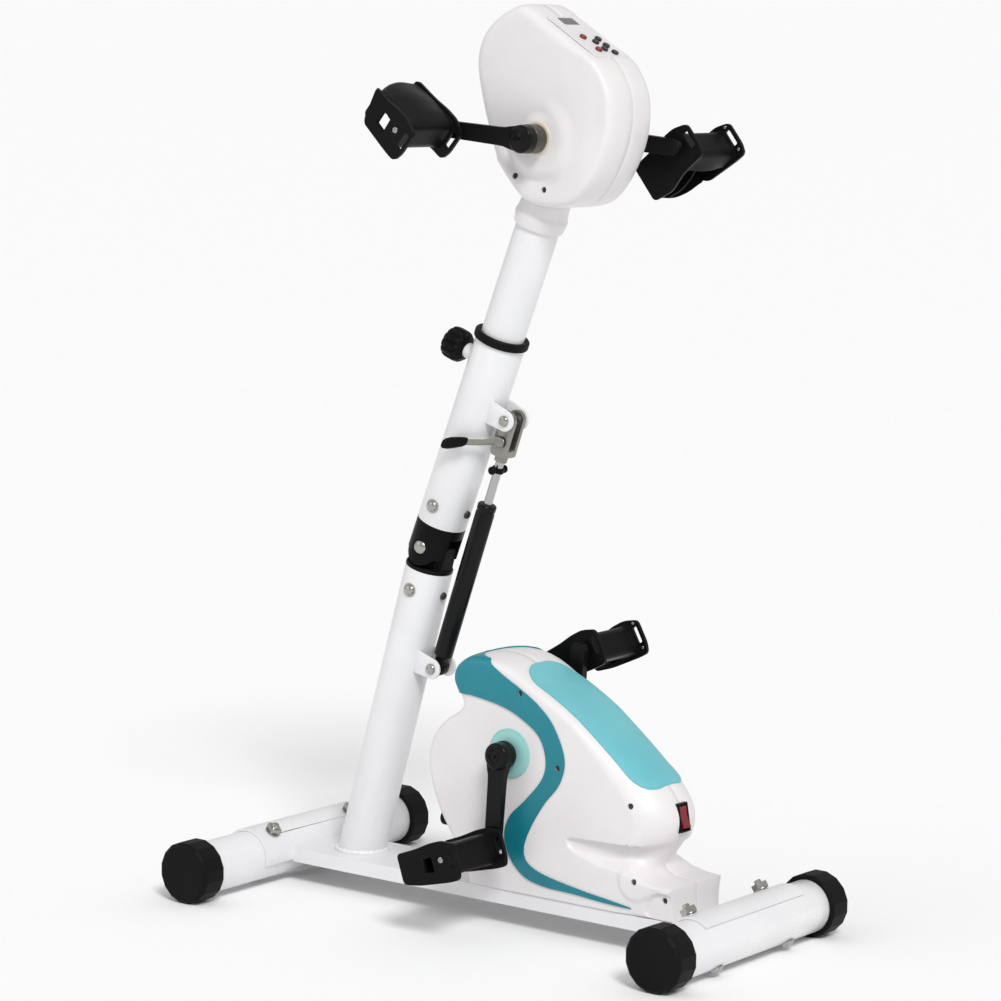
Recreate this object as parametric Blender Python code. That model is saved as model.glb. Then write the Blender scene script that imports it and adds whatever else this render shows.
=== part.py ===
"""Electric pedal exerciser: a floor frame, a leg drive, a folding mast and an arm drive.

Run with: blender --background --python part.py

Metres. +X points to the user, -Y is the near side, the floor is Z = 0. The origin is
on the floor, midway between the two foot tubes.
"""

import math

import bmesh
import bpy
from mathutils import Matrix, Vector

# Clearances
GAP = 0.0003
RUN = 0.0005
SEGMENTS = 24

# Floor frame
FOOT_SPACING = 0.6286
FOOT_TUBE_R = 0.030
FOOT_TUBE_WALL = 0.0018
REAR_FOOT_HALF = 0.2065
FRONT_FOOT_HALF = 0.1682
CAP_APOTHEM = 0.0355
CAP_DEPTH = 0.034
CAP_END_WALL = 0.004
CAP_BEVEL = 0.004
CAP_FACETS = 16
CAP_POINTS = 32
RAIL_HALF_WIDTH = 0.0484
RAIL_TOP = 0.0426
RAIL_HEIGHT = 0.0167
RAIL_WALL = 0.0025
SADDLE_WALL = 0.003
SADDLE_HALF_LENGTH = 0.096
SADDLE_INNER_DEG = -12
SADDLE_OUTER_DEG = 130
SADDLE_BOLT_Y = 0.070
SADDLE_BOLT_DEG = 57
SADDLE_BOLT_R = 0.004

# Mast: one pivot joins the lower mast to the upper sleeve
PIVOT = Vector((-0.1133, 0, 0.4150))
LOWER_LEAN_DEG = 15.6
UPPER_LEAN_DEG = 20.9
MAST_R = 0.02775
MAST_WALL = 0.0025
MAST_TOP_DROP = 0.028
SLEEVE_R = 0.0288
SLEEVE_WALL = 0.0026
SLEEVE_START = 0.0298
SLEEVE_LENGTH = 0.2250
HINGE_TONGUE_HALF = 0.011
HINGE_TONGUE_R = 0.0155
HINGE_KNUCKLE_R = 0.0210
HINGE_FLANGE = 0.0040
HINGE_PLUG = 0.035
PIVOT_BOLT_R = 0.005
PIVOT_HEAD_R = 0.0085
SPOTFACE_Y = 0.0255
COLLAR_R = 0.0318
COLLAR_HEIGHT = 0.010
KNOB_ALONG = 0.2275 - 0.0298
KNOB_BOSS_R = 0.009
KNOB_BOSS_REACH = 0.012
KNOB_R = 0.0190
KNOB_FLUTE = 0.0018
KNOB_FLUTES = 12
KNOB_LENGTH = 0.027
KNOB_STEM_R = 0.004

# Head tube and neck
POST_R = 0.0250
POST_WALL = 0.0020
POST_START = 0.150
POST_DROP = 0.037
NECK_DROP = 0.016
NECK_LENGTH = 0.050
NECK_R = 0.0300

# Gas strut between the two mast brackets
STRUT_LOW = Vector((-0.1043, 0, 0.2735))
STRUT_HIGH = Vector((-0.0038, 0, 0.5672))
EAR_R = 0.0120
EAR_WALL = 0.003
EAR_GAP = 0.026
STRUT_PIN_R = 0.0035
STRUT_EYE_R = 0.0095
STRUT_EYE_WIDTH = 0.012
STRUT_OPEN_EYE_R = 0.0056
CYLINDER_R = 0.0110
CYLINDER_WALL = 0.0015
CYLINDER_START = 0.0150
CYLINDER_END = 0.2065
CYLINDER_CLOSED = 0.010
GLAND_DEPTH = 0.008
ROD_R = 0.0050
ROD_START = 0.070
PISTON_LENGTH = 0.008
RELEASE_START = 0.266
RELEASE_HALF_WIDTH = 0.0105
RELEASE_HALF_DEPTH = 0.0110
LEVER_ALONG = 0.284
LEVER_PIN_R = 0.003
LEVER_ARM = 0.030
LEVER_GRIP = 0.030
LEVER_SWING = 0.024
LEVER_WALL = 0.003

# Leg drive housing
HOUSING_HALF = 0.050
HOUSING_WALL = 0.0030
HOUSING_FLOOR = 0.0430
LOW_AXLE = Vector((0.0364, 0, 0.2003))
HOUSING_SECTION = [(0, 0), (0.020, 0.0004), (0.034, 0.0014), (0.043, 0.0030), (0.0478, 0.0052), (0.050, 0.0082)]
NOSE_SETBACK = 0.024
NOSE_EASE_START = 0.120
NOSE_EASE_END = 0.200
NOSE_LOW = 0.085
TRIM_THICKNESS = 0.0013
STRIP_START = 0.0395
STRIP_END = 0.2170
STRIP_HALF_WIDTH = 0.0400
STRIP_TOP_ROUND = 0.030
STRIP_LOW_ROUND = 0.018
STRIP_LOW = 0.150
RIDGE_LOW = 0.285
RIDGE_HIGH = 0.340
SWITCH = Vector((0.2365, 0, 0.1484))
SWITCH_LEAN_DEG = -10
SWITCH_HALF_Y = 0.0090
SWITCH_HALF_HEIGHT = 0.0160
SWITCH_WALL = 0.0022
SWITCH_DEPTH = 0.014
SWITCH_FACE = 0.0030
ROCKER_TILT_DEG = 8
INLET = Vector((-0.0600, -0.026, 0.107))
INLET_R = 0.0085
INLET_RIM = 0.002
INLET_BORE_R = 0.0035
INLET_DEPTH = 0.016
INLET_SEAT = 0.0075
INLET_REACH = 0.0145

# Leg and arm cranks share one design
AXLE_R = 0.0080
AXLE_HALF = 0.0700
HUB_R = 0.0155
HUB_OUTER = 0.0780
LOW_HUB_STANDOFF = 0.008
HIGH_HUB_STANDOFF = 0.002
ARM_INNER = 0.0655
ARM_OUTER = 0.0745
ARM_ROOT_HALF = 0.0100
ARM_TIP_HALF = 0.0080
CRANK_LENGTH = 0.102
SPINDLE_R = 0.0055
LOW_CRANK_DEG = 266.2
HIGH_CRANK_DEG = 175.4

# Pedals and hand grips
PEDAL_INNER = 0.0780
PEDAL_WIDTH = 0.088
PEDAL_PLATE = 0.004
PEDAL_FRONT = 0.023
PEDAL_REAR = 0.0585
GRIP_INNER_REAR = 0.064
GRIP_OUTER_REAR = 0.046
PEDAL_TOP = 0.018
PEDAL_BOTTOM = 0.023
PEDAL_REAR_BOTTOM = 0.013
PEDAL_BODY_INSET = 0.004
PEDAL_BODY_FRONT = 0.010
PEDAL_CORNER_R = 0.006
SLOT_LENGTH = 0.020
SLOT_WIDTH = 0.007
LOW_NEAR_PEDAL_DEG = 19
LOW_FAR_PEDAL_DEG = 29
HIGH_NEAR_GRIP_DEG = 320
HIGH_FAR_GRIP_DEG = 38

# Leg drive inside the housing
DRIVE_PULLEY_R = 0.060
DRIVE_PULLEY_Y = 0.004
PULLEY_WIDTH = 0.010
MOTOR_PULLEY_R = 0.014
MOTOR_CENTRE = Vector((0.150, 0, 0.105))
MOTOR_R = 0.021
MOTOR_LENGTH = 0.034
MOTOR_SHAFT_R = 0.004
BELT_THICKNESS = 0.0018
PLATE_THICKNESS = 0.004
BEARING_R = 0.017
BEARING_LENGTH = 0.026

# Arm drive head
HEAD_HALF = 0.042
HEAD_WALL = 0.0028
HIGH_AXLE = Vector((0.0579, 0, 0.8837))
HEAD_BOSS_R = 0.046
HEAD_BOSS_RISE = 0.003
GEARBOX_HALF_X = 0.022
GEARBOX_HALF_Y = 0.018
GEARBOX_HALF_Z = 0.025
HEAD_MOTOR_R = 0.018
HEAD_MOTOR_LENGTH = 0.062
PANEL_ORIGIN = Vector((0.0537, 0, 1.0170))
PANEL_SLOPE_DEG = 31.9
PANEL_LENGTH = 0.086
PANEL_HALF_WIDTH = 0.031
PANEL_THICKNESS = 0.0020
WINDOW_ALONG = 0.0130
WINDOW_HALF_LENGTH = 0.0080
WINDOW_HALF_WIDTH = 0.0150
BUTTON_R = 0.0042
BUTTON_FLANGE = 0.0010
BUTTON_HEIGHT = 0.0014
BUTTON_COLUMN = 0.0115
BUTTONS = {
    "start_button": (-1, 0.046),
    "stop_button": (-1, 0.071),
    "mode_button": (0, 0.056),
    "time_button": (0, 0.070),
    "speed_up_button": (1, 0.050),
    "speed_down_button": (1, 0.063),
    "direction_button": (1, 0.077),
}

REAR_X = -FOOT_SPACING / 2
FRONT_X = FOOT_SPACING / 2
FOOT_Z = CAP_APOTHEM
X_AXIS = Vector((1, 0, 0))
Y_AXIS = Vector((0, 1, 0))
Z_AXIS = Vector((0, 0, 1))
HOUSING_HOLE_R = AXLE_R + 0.0015


def lean_direction(degrees):
    """Unit vector up a mast that leans towards +X."""
    angle = math.radians(degrees)
    return Vector((math.sin(angle), 0, math.cos(angle)))


def across_direction(degrees):
    """Unit vector square to a leaning mast, on its +X side."""
    angle = math.radians(degrees)
    return Vector((math.cos(angle), 0, -math.sin(angle)))


LOWER_UP = lean_direction(LOWER_LEAN_DEG)
LOWER_ACROSS = across_direction(LOWER_LEAN_DEG)
UPPER_UP = lean_direction(UPPER_LEAN_DEG)
UPPER_ACROSS = across_direction(UPPER_LEAN_DEG)
STRUT_UP = (STRUT_HIGH - STRUT_LOW).normalized()
STRUT_ACROSS = Vector((STRUT_UP.z, 0, -STRUT_UP.x))
PANEL_DOWN = across_direction(PANEL_SLOPE_DEG)
PANEL_OUT = lean_direction(PANEL_SLOPE_DEG)
SWITCH_UP = lean_direction(SWITCH_LEAN_DEG)
SWITCH_OUT = across_direction(SWITCH_LEAN_DEG)

# Lengths along the upper mast that follow the arm axle
POST_END = (HIGH_AXLE - PIVOT).dot(UPPER_UP) - POST_DROP
NECK_START = POST_END - NECK_DROP - NECK_LENGTH
LOW_HUB_INNER = HOUSING_HALF + LOW_HUB_STANDOFF
HIGH_HUB_INNER = HEAD_HALF + HEAD_BOSS_RISE + HIGH_HUB_STANDOFF


def material(name, colour, roughness, metallic=0.0):
    """Principled material in one plain colour."""
    made = bpy.data.materials.new(name)
    made.use_nodes = True
    shader = made.node_tree.nodes["Principled BSDF"]
    shader.inputs["Base Color"].default_value = (*colour, 1)
    shader.inputs["Roughness"].default_value = roughness
    shader.inputs["Metallic"].default_value = metallic
    return made


def add_object(name, mesh_data, finish, origin=Vector((0, 0, 0)), smooth_deg=35):
    """Turns a bmesh in world coordinates into an object whose origin is at the given point."""
    bmesh.ops.recalc_face_normals(mesh_data, faces=mesh_data.faces)
    mesh = bpy.data.meshes.new(name)
    mesh_data.transform(Matrix.Translation(-origin))
    mesh_data.to_mesh(mesh)
    mesh_data.free()
    mesh.shade_smooth()
    mesh.set_sharp_from_angle(angle=math.radians(smooth_deg))
    made = bpy.data.objects.new(name, mesh)
    made.location = origin
    made.data.materials.append(FINISHES[finish])
    bpy.context.scene.collection.objects.link(made)
    return made


def loft(rings, closed=False):
    """Skins rings of equal length; an open skin gets both of its ends capped."""
    shape = bmesh.new()
    rows = [[shape.verts.new(point) for point in ring] for ring in rings]
    count = len(rows[0])
    pairs = list(zip(rows[:-1], rows[1:]))
    if closed:
        pairs.append((rows[-1], rows[0]))
    for lower, upper in pairs:
        for i in range(count):
            j = (i + 1) % count
            shape.faces.new((lower[i], lower[j], upper[j], upper[i]))
    if not closed:
        shape.faces.new(rows[0])
        shape.faces.new(rows[-1])
    return shape


def circle(centre, axis, side, radius, count=SEGMENTS, offset=0.5):
    """Points round an axis, starting the given share of a step from the side direction."""
    other = axis.cross(side)
    points = []
    for i in range(count):
        angle = 2 * math.pi * (i + offset) / count
        points.append(centre + side * (radius * math.cos(angle)) + other * (radius * math.sin(angle)))
    return points


def turned(start, axis, side, profile, closed=False, count=SEGMENTS):
    """Solid of revolution from (distance along the axis, radius) pairs."""
    rings = [circle(start + axis * along, axis, side, radius, count) for along, radius in profile]
    return loft(rings, closed)


def rod(start, axis, side, length, radius, count=SEGMENTS):
    return turned(start, axis, side, [(0, radius), (length, radius)], count=count)


def prism(outline, low, high):
    """Extrudes (x, z) points between two Y planes."""
    rings = [[Vector((x, y, z)) for x, z in outline] for y in (low, high)]
    return loft(rings)


def frame_prism(origin, along, across, outline, low, high):
    """Extrudes (across, along) points, measured from an origin, between two Y planes."""
    rings = []
    for y in (low, high):
        rings.append([origin + across * a + along * b + Y_AXIS * y for a, b in outline])
    return loft(rings)


def block(low, high):
    """Box between two corners."""
    outline = [(low[0], low[2]), (high[0], low[2]), (high[0], high[2]), (low[0], high[2])]
    return prism(outline, low[1], high[1])


def arc(centre, radius, start_deg, end_deg, steps):
    """Points of an arc in a plane, both ends included."""
    points = []
    for i in range(steps + 1):
        angle = math.radians(start_deg + (end_deg - start_deg) * i / steps)
        points.append((centre[0] + radius * math.cos(angle), centre[1] + radius * math.sin(angle)))
    return points


def rounded(corners, radius, steps=3):
    """Polygon with each corner replaced by an arc that touches both of its sides."""
    result = []
    count = len(corners)
    for i, corner in enumerate(corners):
        here = Vector(corner)
        before = (Vector(corners[i - 1]) - here).normalized()
        after = (Vector(corners[(i + 1) % count]) - here).normalized()
        half = before.angle(after) / 2
        centre = here + (before + after).normalized() * (radius / math.sin(half))
        first = here + before * (radius / math.tan(half)) - centre
        last = here + after * (radius / math.tan(half)) - centre
        turn = first.angle_signed(last)
        for step in range(steps + 1):
            spin = Matrix.Rotation(-turn * step / steps, 2)
            result.append(tuple(centre + spin @ first))
    return result


def smooth(points, steps=2, closed=True):
    """Catmull-Rom curve through the points."""
    result = []
    count = len(points)
    spans = count if closed else count - 1
    for i in range(spans):
        if closed:
            a, b, c, d = (Vector(points[(i + k) % count]) for k in (-1, 0, 1, 2))
        else:
            a, b, c, d = (Vector(points[min(max(i + k, 0), count - 1)]) for k in (-1, 0, 1, 2))
        for step in range(steps):
            t = step / steps
            spot = 0.5 * (2 * b + (c - a) * t + (2 * a - 5 * b + 4 * c - d) * t * t
                          + (3 * b - a - 3 * c + d) * t ** 3)
            result.append(tuple(spot))
    if not closed:
        result.append(tuple(points[-1]))
    return result


def inset(points, distance):
    """Moves a closed outline inwards; the outline runs clockwise seen from -Y."""
    result = []
    count = len(points)
    for i in range(count):
        here = Vector(points[i])
        before = (here - Vector(points[i - 1])).normalized()
        after = (Vector(points[(i + 1) % count]) - here).normalized()
        tangent = (before + after).normalized()
        normal = Vector((tangent.y, -tangent.x))
        stretch = max(abs(normal.dot(Vector((after.y, -after.x)))), 0.6)
        result.append(tuple(here + normal * (distance / stretch)))
    return result


def boolean(target, tool, operation):
    """Adds an exact Boolean whose tool is only a guide."""
    step = target.modifiers.new(tool.name, "BOOLEAN")
    step.operation = operation
    step.solver = "EXACT"
    step.object = tool
    tool.hide_render = True
    tool.display_type = "WIRE"


def cut(target, shape, label):
    boolean(target, add_object(f"{target.name}_{label}_cutter", shape, "guide"), "DIFFERENCE")


def join(target, shape, label):
    boolean(target, add_object(f"{target.name}_{label}_guide", shape, "guide"), "UNION")


def tube(start, axis, side, length, outer, wall, ends=(0, 0)):
    """Open tube; each end can be lengthened by a slope to meet a level plane."""
    profile = [(0, outer), (length, outer), (length, outer - wall), (0, outer - wall)]
    rings = []
    for along, radius in profile:
        slope = ends[0] if along == 0 else ends[1]
        ring = circle(start + axis * along, axis, side, radius)
        rings.append([point + axis * (slope * (point - start).dot(side)) for point in ring])
    return loft(rings, closed=True)


# Floor frame

def build_feet():
    """Two cross tubes with a faceted rubber cap on each end."""
    for end, x, half in (("rear", REAR_X, REAR_FOOT_HALF), ("front", FRONT_X, FRONT_FOOT_HALF)):
        centre = Vector((x, 0, FOOT_Z))
        reach = half - CAP_END_WALL - GAP
        shape = tube(centre - Y_AXIS * reach, Y_AXIS, X_AXIS, 2 * reach, FOOT_TUBE_R, FOOT_TUBE_WALL)
        foot = add_object(f"{end}_foot_tube", shape, "white_paint")
        for side, label in ((-1, "near"), (1, "far")):
            up = saddle_bolt_direction(x)
            spot = centre + Y_AXIS * (side * SADDLE_BOLT_Y)
            hole = rod(spot - up * 2 * FOOT_TUBE_R, up, Y_AXIS, 4 * FOOT_TUBE_R, SADDLE_BOLT_R + RUN, 12)
            cut(foot, hole, f"{label}_bolt")
            build_cap(f"{end}_{label}_cap", centre, side, half)


def build_cap(name, centre, side, half):
    """Cup with flat facets outside, so that it stands on one of them."""
    out = Y_AXIS * side
    mouth = half - CAP_DEPTH
    bore = FOOT_TUBE_R + GAP
    slim = CAP_APOTHEM - CAP_BEVEL
    rings = [facet_ring(centre + out * mouth, slim + 0.002), facet_ring(centre + out * (mouth + 0.002), CAP_APOTHEM),
             facet_ring(centre + out * (half - CAP_BEVEL), CAP_APOTHEM), facet_ring(centre + out * half, slim)]
    inner = [circle(centre + out * y, Y_AXIS, X_AXIS, bore, CAP_POINTS, 0) for y in (half - CAP_END_WALL, mouth)]
    add_object(name, loft(inner + rings), "black_rubber", smooth_deg=15)


def facet_ring(centre, apothem):
    """Ring whose points lie on a polygon with CAP_FACETS flats, one of them at the bottom."""
    points = []
    step = 2 * math.pi / CAP_FACETS
    for i in range(CAP_POINTS):
        angle = 2 * math.pi * i / CAP_POINTS
        off_flat = (angle + step / 2) % step - step / 2
        radius = apothem / math.cos(off_flat)
        side = Vector((math.cos(angle), 0, 0))
        points.append(centre + side * radius + Vector((0, 0, -math.sin(angle) * radius)))
    return points


def saddle_bolt_direction(x):
    """Upwards and towards the middle of the frame."""
    angle = math.radians(SADDLE_BOLT_DEG)
    inwards = 1 if x < 0 else -1
    return Vector((inwards * math.cos(angle), 0, math.sin(angle)))


def build_frame():
    """Channel rail welded at each end to a saddle plate, which wraps over the foot tube."""
    low = RAIL_TOP - RAIL_HEIGHT
    inner = RAIL_HALF_WIDTH - RAIL_WALL
    section = [(-RAIL_HALF_WIDTH, low), (-RAIL_HALF_WIDTH, RAIL_TOP), (RAIL_HALF_WIDTH, RAIL_TOP), (RAIL_HALF_WIDTH, low),
               (inner, low), (inner, RAIL_TOP - RAIL_WALL), (-inner, RAIL_TOP - RAIL_WALL), (-inner, low)]
    saddle_inner = FOOT_TUBE_R + GAP
    saddle_outer = saddle_inner + SADDLE_WALL
    end = FRONT_X - saddle_inner - SADDLE_WALL / 5
    rail = loft([[Vector((x, y, z)) for y, z in section] for x in (-end, end)])
    frame = add_object("base_frame", rail, "white_paint")
    for label, x in (("rear", REAR_X), ("front", FRONT_X)):
        arc_out = arc((0, 0), saddle_outer, SADDLE_INNER_DEG, SADDLE_OUTER_DEG, 14)
        arc_in = arc((0, 0), saddle_inner, SADDLE_OUTER_DEG, SADDLE_INNER_DEG, 14)
        inwards = 1 if x < 0 else -1
        outline = [(x + inwards * a, FOOT_Z + b) for a, b in arc_out + arc_in]
        join(frame, prism(outline, -SADDLE_HALF_LENGTH, SADDLE_HALF_LENGTH), label)
    for label, x in (("rear", REAR_X), ("front", FRONT_X)):
        up = saddle_bolt_direction(x)
        for side, name in ((-1, "near"), (1, "far")):
            spot = Vector((x, side * SADDLE_BOLT_Y, FOOT_Z))
            hole = rod(spot + up * (FOOT_TUBE_R / 2), up, Y_AXIS, FOOT_TUBE_R, SADDLE_BOLT_R + RUN, 12)
            cut(frame, hole, f"{label}_{name}_bolt")
            build_saddle_bolt(f"{label}_{name}_bolt", spot, up, saddle_outer)


def build_saddle_bolt(name, spot, up, saddle_outer):
    """Carriage bolt with its washer and dome nut."""
    head = -(FOOT_TUBE_R + GAP)
    seat = saddle_outer + GAP
    profile = [(head - 0.0045, 0.0045), (head, 0.0085), (head, SADDLE_BOLT_R), (seat, SADDLE_BOLT_R), (seat, 0.0088),
               (seat + 0.0015, 0.0088), (seat + 0.0015, 0.0065), (seat + 0.0080, 0.0065), (seat + 0.0120, 0.0035)]
    add_object(name, turned(spot, up, Y_AXIS, profile, count=12), "zinc")


# Mast

def ear_outline(reach):
    """Bracket ear: round about the pin, and straight back to the tube."""
    nose = arc((0, 0), EAR_R, -90, 90, 8)
    return nose + [(-reach, EAR_R), (-reach, -EAR_R)]


def add_ears(target, pin, up, across, tube_centre, outer):
    """Welds two ears to a tube, each with its pin hole."""
    reach = (pin - tube_centre).dot(across) - outer
    for side, label in ((-1, "near"), (1, "far")):
        low, high = sorted((side * EAR_GAP / 2, side * (EAR_GAP / 2 + EAR_WALL)))
        join(target, frame_prism(pin, up, across, ear_outline(reach), low, high), f"{label}_ear")
    hole = rod(pin - Y_AXIS * EAR_GAP, Y_AXIS, across, 2 * EAR_GAP, STRUT_PIN_R + GAP, 16)
    cut(target, hole, "pin")


def build_lower_mast():
    """Tube welded on the rail, with the strut's lower bracket."""
    top = PIVOT - LOWER_UP * MAST_TOP_DROP
    floor = RAIL_TOP + GAP
    length = (top.z - floor) / LOWER_UP.z
    bottom = top - LOWER_UP * length
    slope = -LOWER_ACROSS.z / LOWER_UP.z
    shape = tube(bottom, LOWER_UP, LOWER_ACROSS, length, MAST_R, MAST_WALL, ends=(slope, 0))
    mast = add_object("lower_mast", shape, "white_paint")
    add_ears(mast, STRUT_LOW, LOWER_UP, LOWER_ACROSS, PIVOT, ear_root(MAST_R, MAST_WALL))


def ear_root(outer, wall):
    """Distance from the tube's axis at which a flat ear ends inside the tube's wall."""
    mid = EAR_GAP / 2 + EAR_WALL / 2
    return (math.sqrt(outer ** 2 - mid ** 2) + math.sqrt((outer - wall) ** 2 - mid ** 2)) / 2


def build_hinge():
    """Tongue block below, slotted knuckle above, and the bolt through both."""
    plug_r = MAST_R - MAST_WALL - GAP
    flange_low = -MAST_TOP_DROP + GAP
    flange_high = flange_low + HINGE_FLANGE
    profile = [(-MAST_TOP_DROP - HINGE_PLUG, plug_r - 0.001), (-MAST_TOP_DROP - HINGE_PLUG + 0.001, plug_r),
               (flange_low, plug_r), (flange_low, MAST_R), (flange_high - 0.001, MAST_R), (flange_high, MAST_R - 0.001)]
    lower = add_object("lower_hinge_block", turned(PIVOT, LOWER_UP, LOWER_ACROSS, profile), "black_plastic")
    tongue = arc((0, 0), HINGE_TONGUE_R, 0, 180, 12)
    outline = tongue + [(-HINGE_TONGUE_R, flange_low + 0.001), (HINGE_TONGUE_R, flange_low + 0.001)]
    half = HINGE_TONGUE_HALF - GAP
    join(lower, frame_prism(PIVOT, LOWER_UP, LOWER_ACROSS, outline, -half, half), "tongue")
    bore = rod(PIVOT - Y_AXIS * MAST_R, Y_AXIS, LOWER_ACROSS, 2 * MAST_R, PIVOT_BOLT_R + GAP, 16)
    cut(lower, bore, "bore")

    start = -HINGE_KNUCKLE_R
    barrel = rod(PIVOT + UPPER_UP * start, UPPER_UP, UPPER_ACROSS, SLEEVE_START - GAP - start, SLEEVE_R)
    upper = add_object("upper_hinge_block", barrel, "black_plastic", origin=PIVOT)
    wide = SLEEVE_R + 0.002
    cheek = [(-wide, -0.006)] + arc((0, 0), HINGE_KNUCKLE_R, 206, 334, 10) + [(wide, -0.006), (wide, SLEEVE_START),
                                                                            (-wide, SLEEVE_START)]
    trim = frame_prism(PIVOT, UPPER_UP, UPPER_ACROSS, cheek, -wide, wide)
    boolean(upper, add_object("upper_hinge_block_trim_guide", trim, "guide"), "INTERSECT")
    slot_top = HINGE_TONGUE_R + 0.003
    slot = [(-wide, -wide), (wide, -wide), (wide, slot_top), (-wide, slot_top)]
    cut(upper, frame_prism(PIVOT, UPPER_UP, UPPER_ACROSS, slot, -HINGE_TONGUE_HALF, HINGE_TONGUE_HALF), "slot")
    bore = rod(PIVOT - Y_AXIS * MAST_R, Y_AXIS, UPPER_ACROSS, 2 * MAST_R, PIVOT_BOLT_R + GAP, 16)
    cut(upper, bore, "bore")
    for side, label in ((-1, "near"), (1, "far")):
        face = rod(PIVOT + Y_AXIS * side * SPOTFACE_Y, Y_AXIS * side, UPPER_ACROSS, 0.010, PIVOT_HEAD_R + RUN, 24)
        cut(upper, face, f"{label}_spotface")
    plug = SLEEVE_R - SLEEVE_WALL - GAP
    plug_start = PIVOT + UPPER_UP * (SLEEVE_START - 0.002)
    join(upper, rod(plug_start, UPPER_UP, UPPER_ACROSS, HINGE_PLUG, plug), "plug")

    seat = SPOTFACE_Y + GAP
    profile = [(-seat - 0.0045, 0.0055), (-seat - 0.0030, PIVOT_HEAD_R), (-seat, PIVOT_HEAD_R), (-seat, PIVOT_BOLT_R),
               (seat, PIVOT_BOLT_R), (seat, PIVOT_HEAD_R), (seat + 0.0045, PIVOT_HEAD_R), (seat + 0.0060, 0.0055)]
    bolt = turned(PIVOT, Y_AXIS, UPPER_ACROSS, profile, count=16)
    add_object("pivot_bolt", bolt, "zinc", origin=PIVOT)


def build_sleeve():
    """Upper sleeve with the strut's upper bracket and the boss of the locking knob."""
    start = PIVOT + UPPER_UP * SLEEVE_START
    shape = tube(start, UPPER_UP, UPPER_ACROSS, SLEEVE_LENGTH, SLEEVE_R, SLEEVE_WALL)
    sleeve = add_object("upper_sleeve", shape, "white_paint", origin=PIVOT)
    add_ears(sleeve, STRUT_HIGH, UPPER_UP, UPPER_ACROSS, PIVOT, ear_root(SLEEVE_R, SLEEVE_WALL))
    out = -UPPER_ACROSS
    spot = start + UPPER_UP * KNOB_ALONG
    boss = rod(spot + out * (SLEEVE_R - SLEEVE_WALL / 2), out, Y_AXIS, KNOB_BOSS_REACH, KNOB_BOSS_R, 24)
    join(sleeve, boss, "knob_boss")
    hole = rod(spot + out * (SLEEVE_R / 2), out, Y_AXIS, SLEEVE_R + KNOB_BOSS_REACH, KNOB_STEM_R + RUN, 16)
    cut(sleeve, hole, "knob")

    seat = start + UPPER_UP * (SLEEVE_LENGTH + GAP)
    inner = POST_R + GAP
    profile = [(0, COLLAR_R - 0.002), (0.002, COLLAR_R), (COLLAR_HEIGHT - 0.003, COLLAR_R),
               (COLLAR_HEIGHT, COLLAR_R - 0.003), (COLLAR_HEIGHT, inner), (0, inner)]
    collar = turned(seat, UPPER_UP, UPPER_ACROSS, profile, closed=True)
    add_object("sleeve_collar", collar, "black_rubber", origin=PIVOT)
    build_knob(spot, out)


def build_knob(spot, out):
    """Fluted hand knob whose stem clamps the head tube."""
    face = SLEEVE_R - SLEEVE_WALL / 2 + KNOB_BOSS_REACH + RUN
    tip = POST_R + GAP
    count = KNOB_FLUTES * 3
    side = Y_AXIS
    other = out.cross(side)
    rings = []
    profile = [(tip, KNOB_STEM_R, 0), (face, KNOB_STEM_R, 0), (face, KNOB_R - 0.007, 0), (face + 0.004, KNOB_R - 0.003, 0),
               (face + 0.007, KNOB_R, 1), (face + KNOB_LENGTH - 0.003, KNOB_R, 1), (face + KNOB_LENGTH, KNOB_R - 0.003, 1)]
    for along, radius, fluted in profile:
        ring = []
        for i in range(count):
            angle = 2 * math.pi * i / count
            depth = fluted * KNOB_FLUTE * (0.5 - 0.5 * math.cos(KNOB_FLUTES * angle))
            reach = radius - depth
            ring.append(spot + out * along + side * (reach * math.cos(angle)) + other * (reach * math.sin(angle)))
        rings.append(ring)
    add_object("lock_knob", loft(rings), "black_plastic", origin=spot + out * face)


def build_post():
    """Sliding head tube and the neck ring that closes the head's underside."""
    start = PIVOT + UPPER_UP * POST_START
    shape = tube(start, UPPER_UP, UPPER_ACROSS, POST_END - POST_START, POST_R, POST_WALL)
    add_object("head_tube", shape, "white_paint", origin=start)
    profile = [(NECK_START, NECK_R - 0.0015), (NECK_START + 0.0015, NECK_R), (NECK_START + NECK_LENGTH, NECK_R),
               (NECK_START + NECK_LENGTH, POST_R + GAP), (NECK_START, POST_R + GAP)]
    neck = turned(PIVOT, UPPER_UP, UPPER_ACROSS, profile, closed=True)
    add_object("neck_ring", neck, "white_plastic", origin=start)


# Gas strut

def build_pin(name, centre, across):
    """Clevis pin with a head at each side of the bracket."""
    seat = EAR_GAP / 2 + EAR_WALL + GAP
    profile = [(-seat - 0.0035, 0.0045), (-seat - 0.0025, 0.0062), (-seat, 0.0062), (-seat, STRUT_PIN_R),
               (seat, STRUT_PIN_R), (seat, 0.0062), (seat + 0.0030, 0.0062), (seat + 0.0040, 0.0045)]
    add_object(name, turned(centre, Y_AXIS, across, profile, count=12), "zinc", origin=centre)


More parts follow.
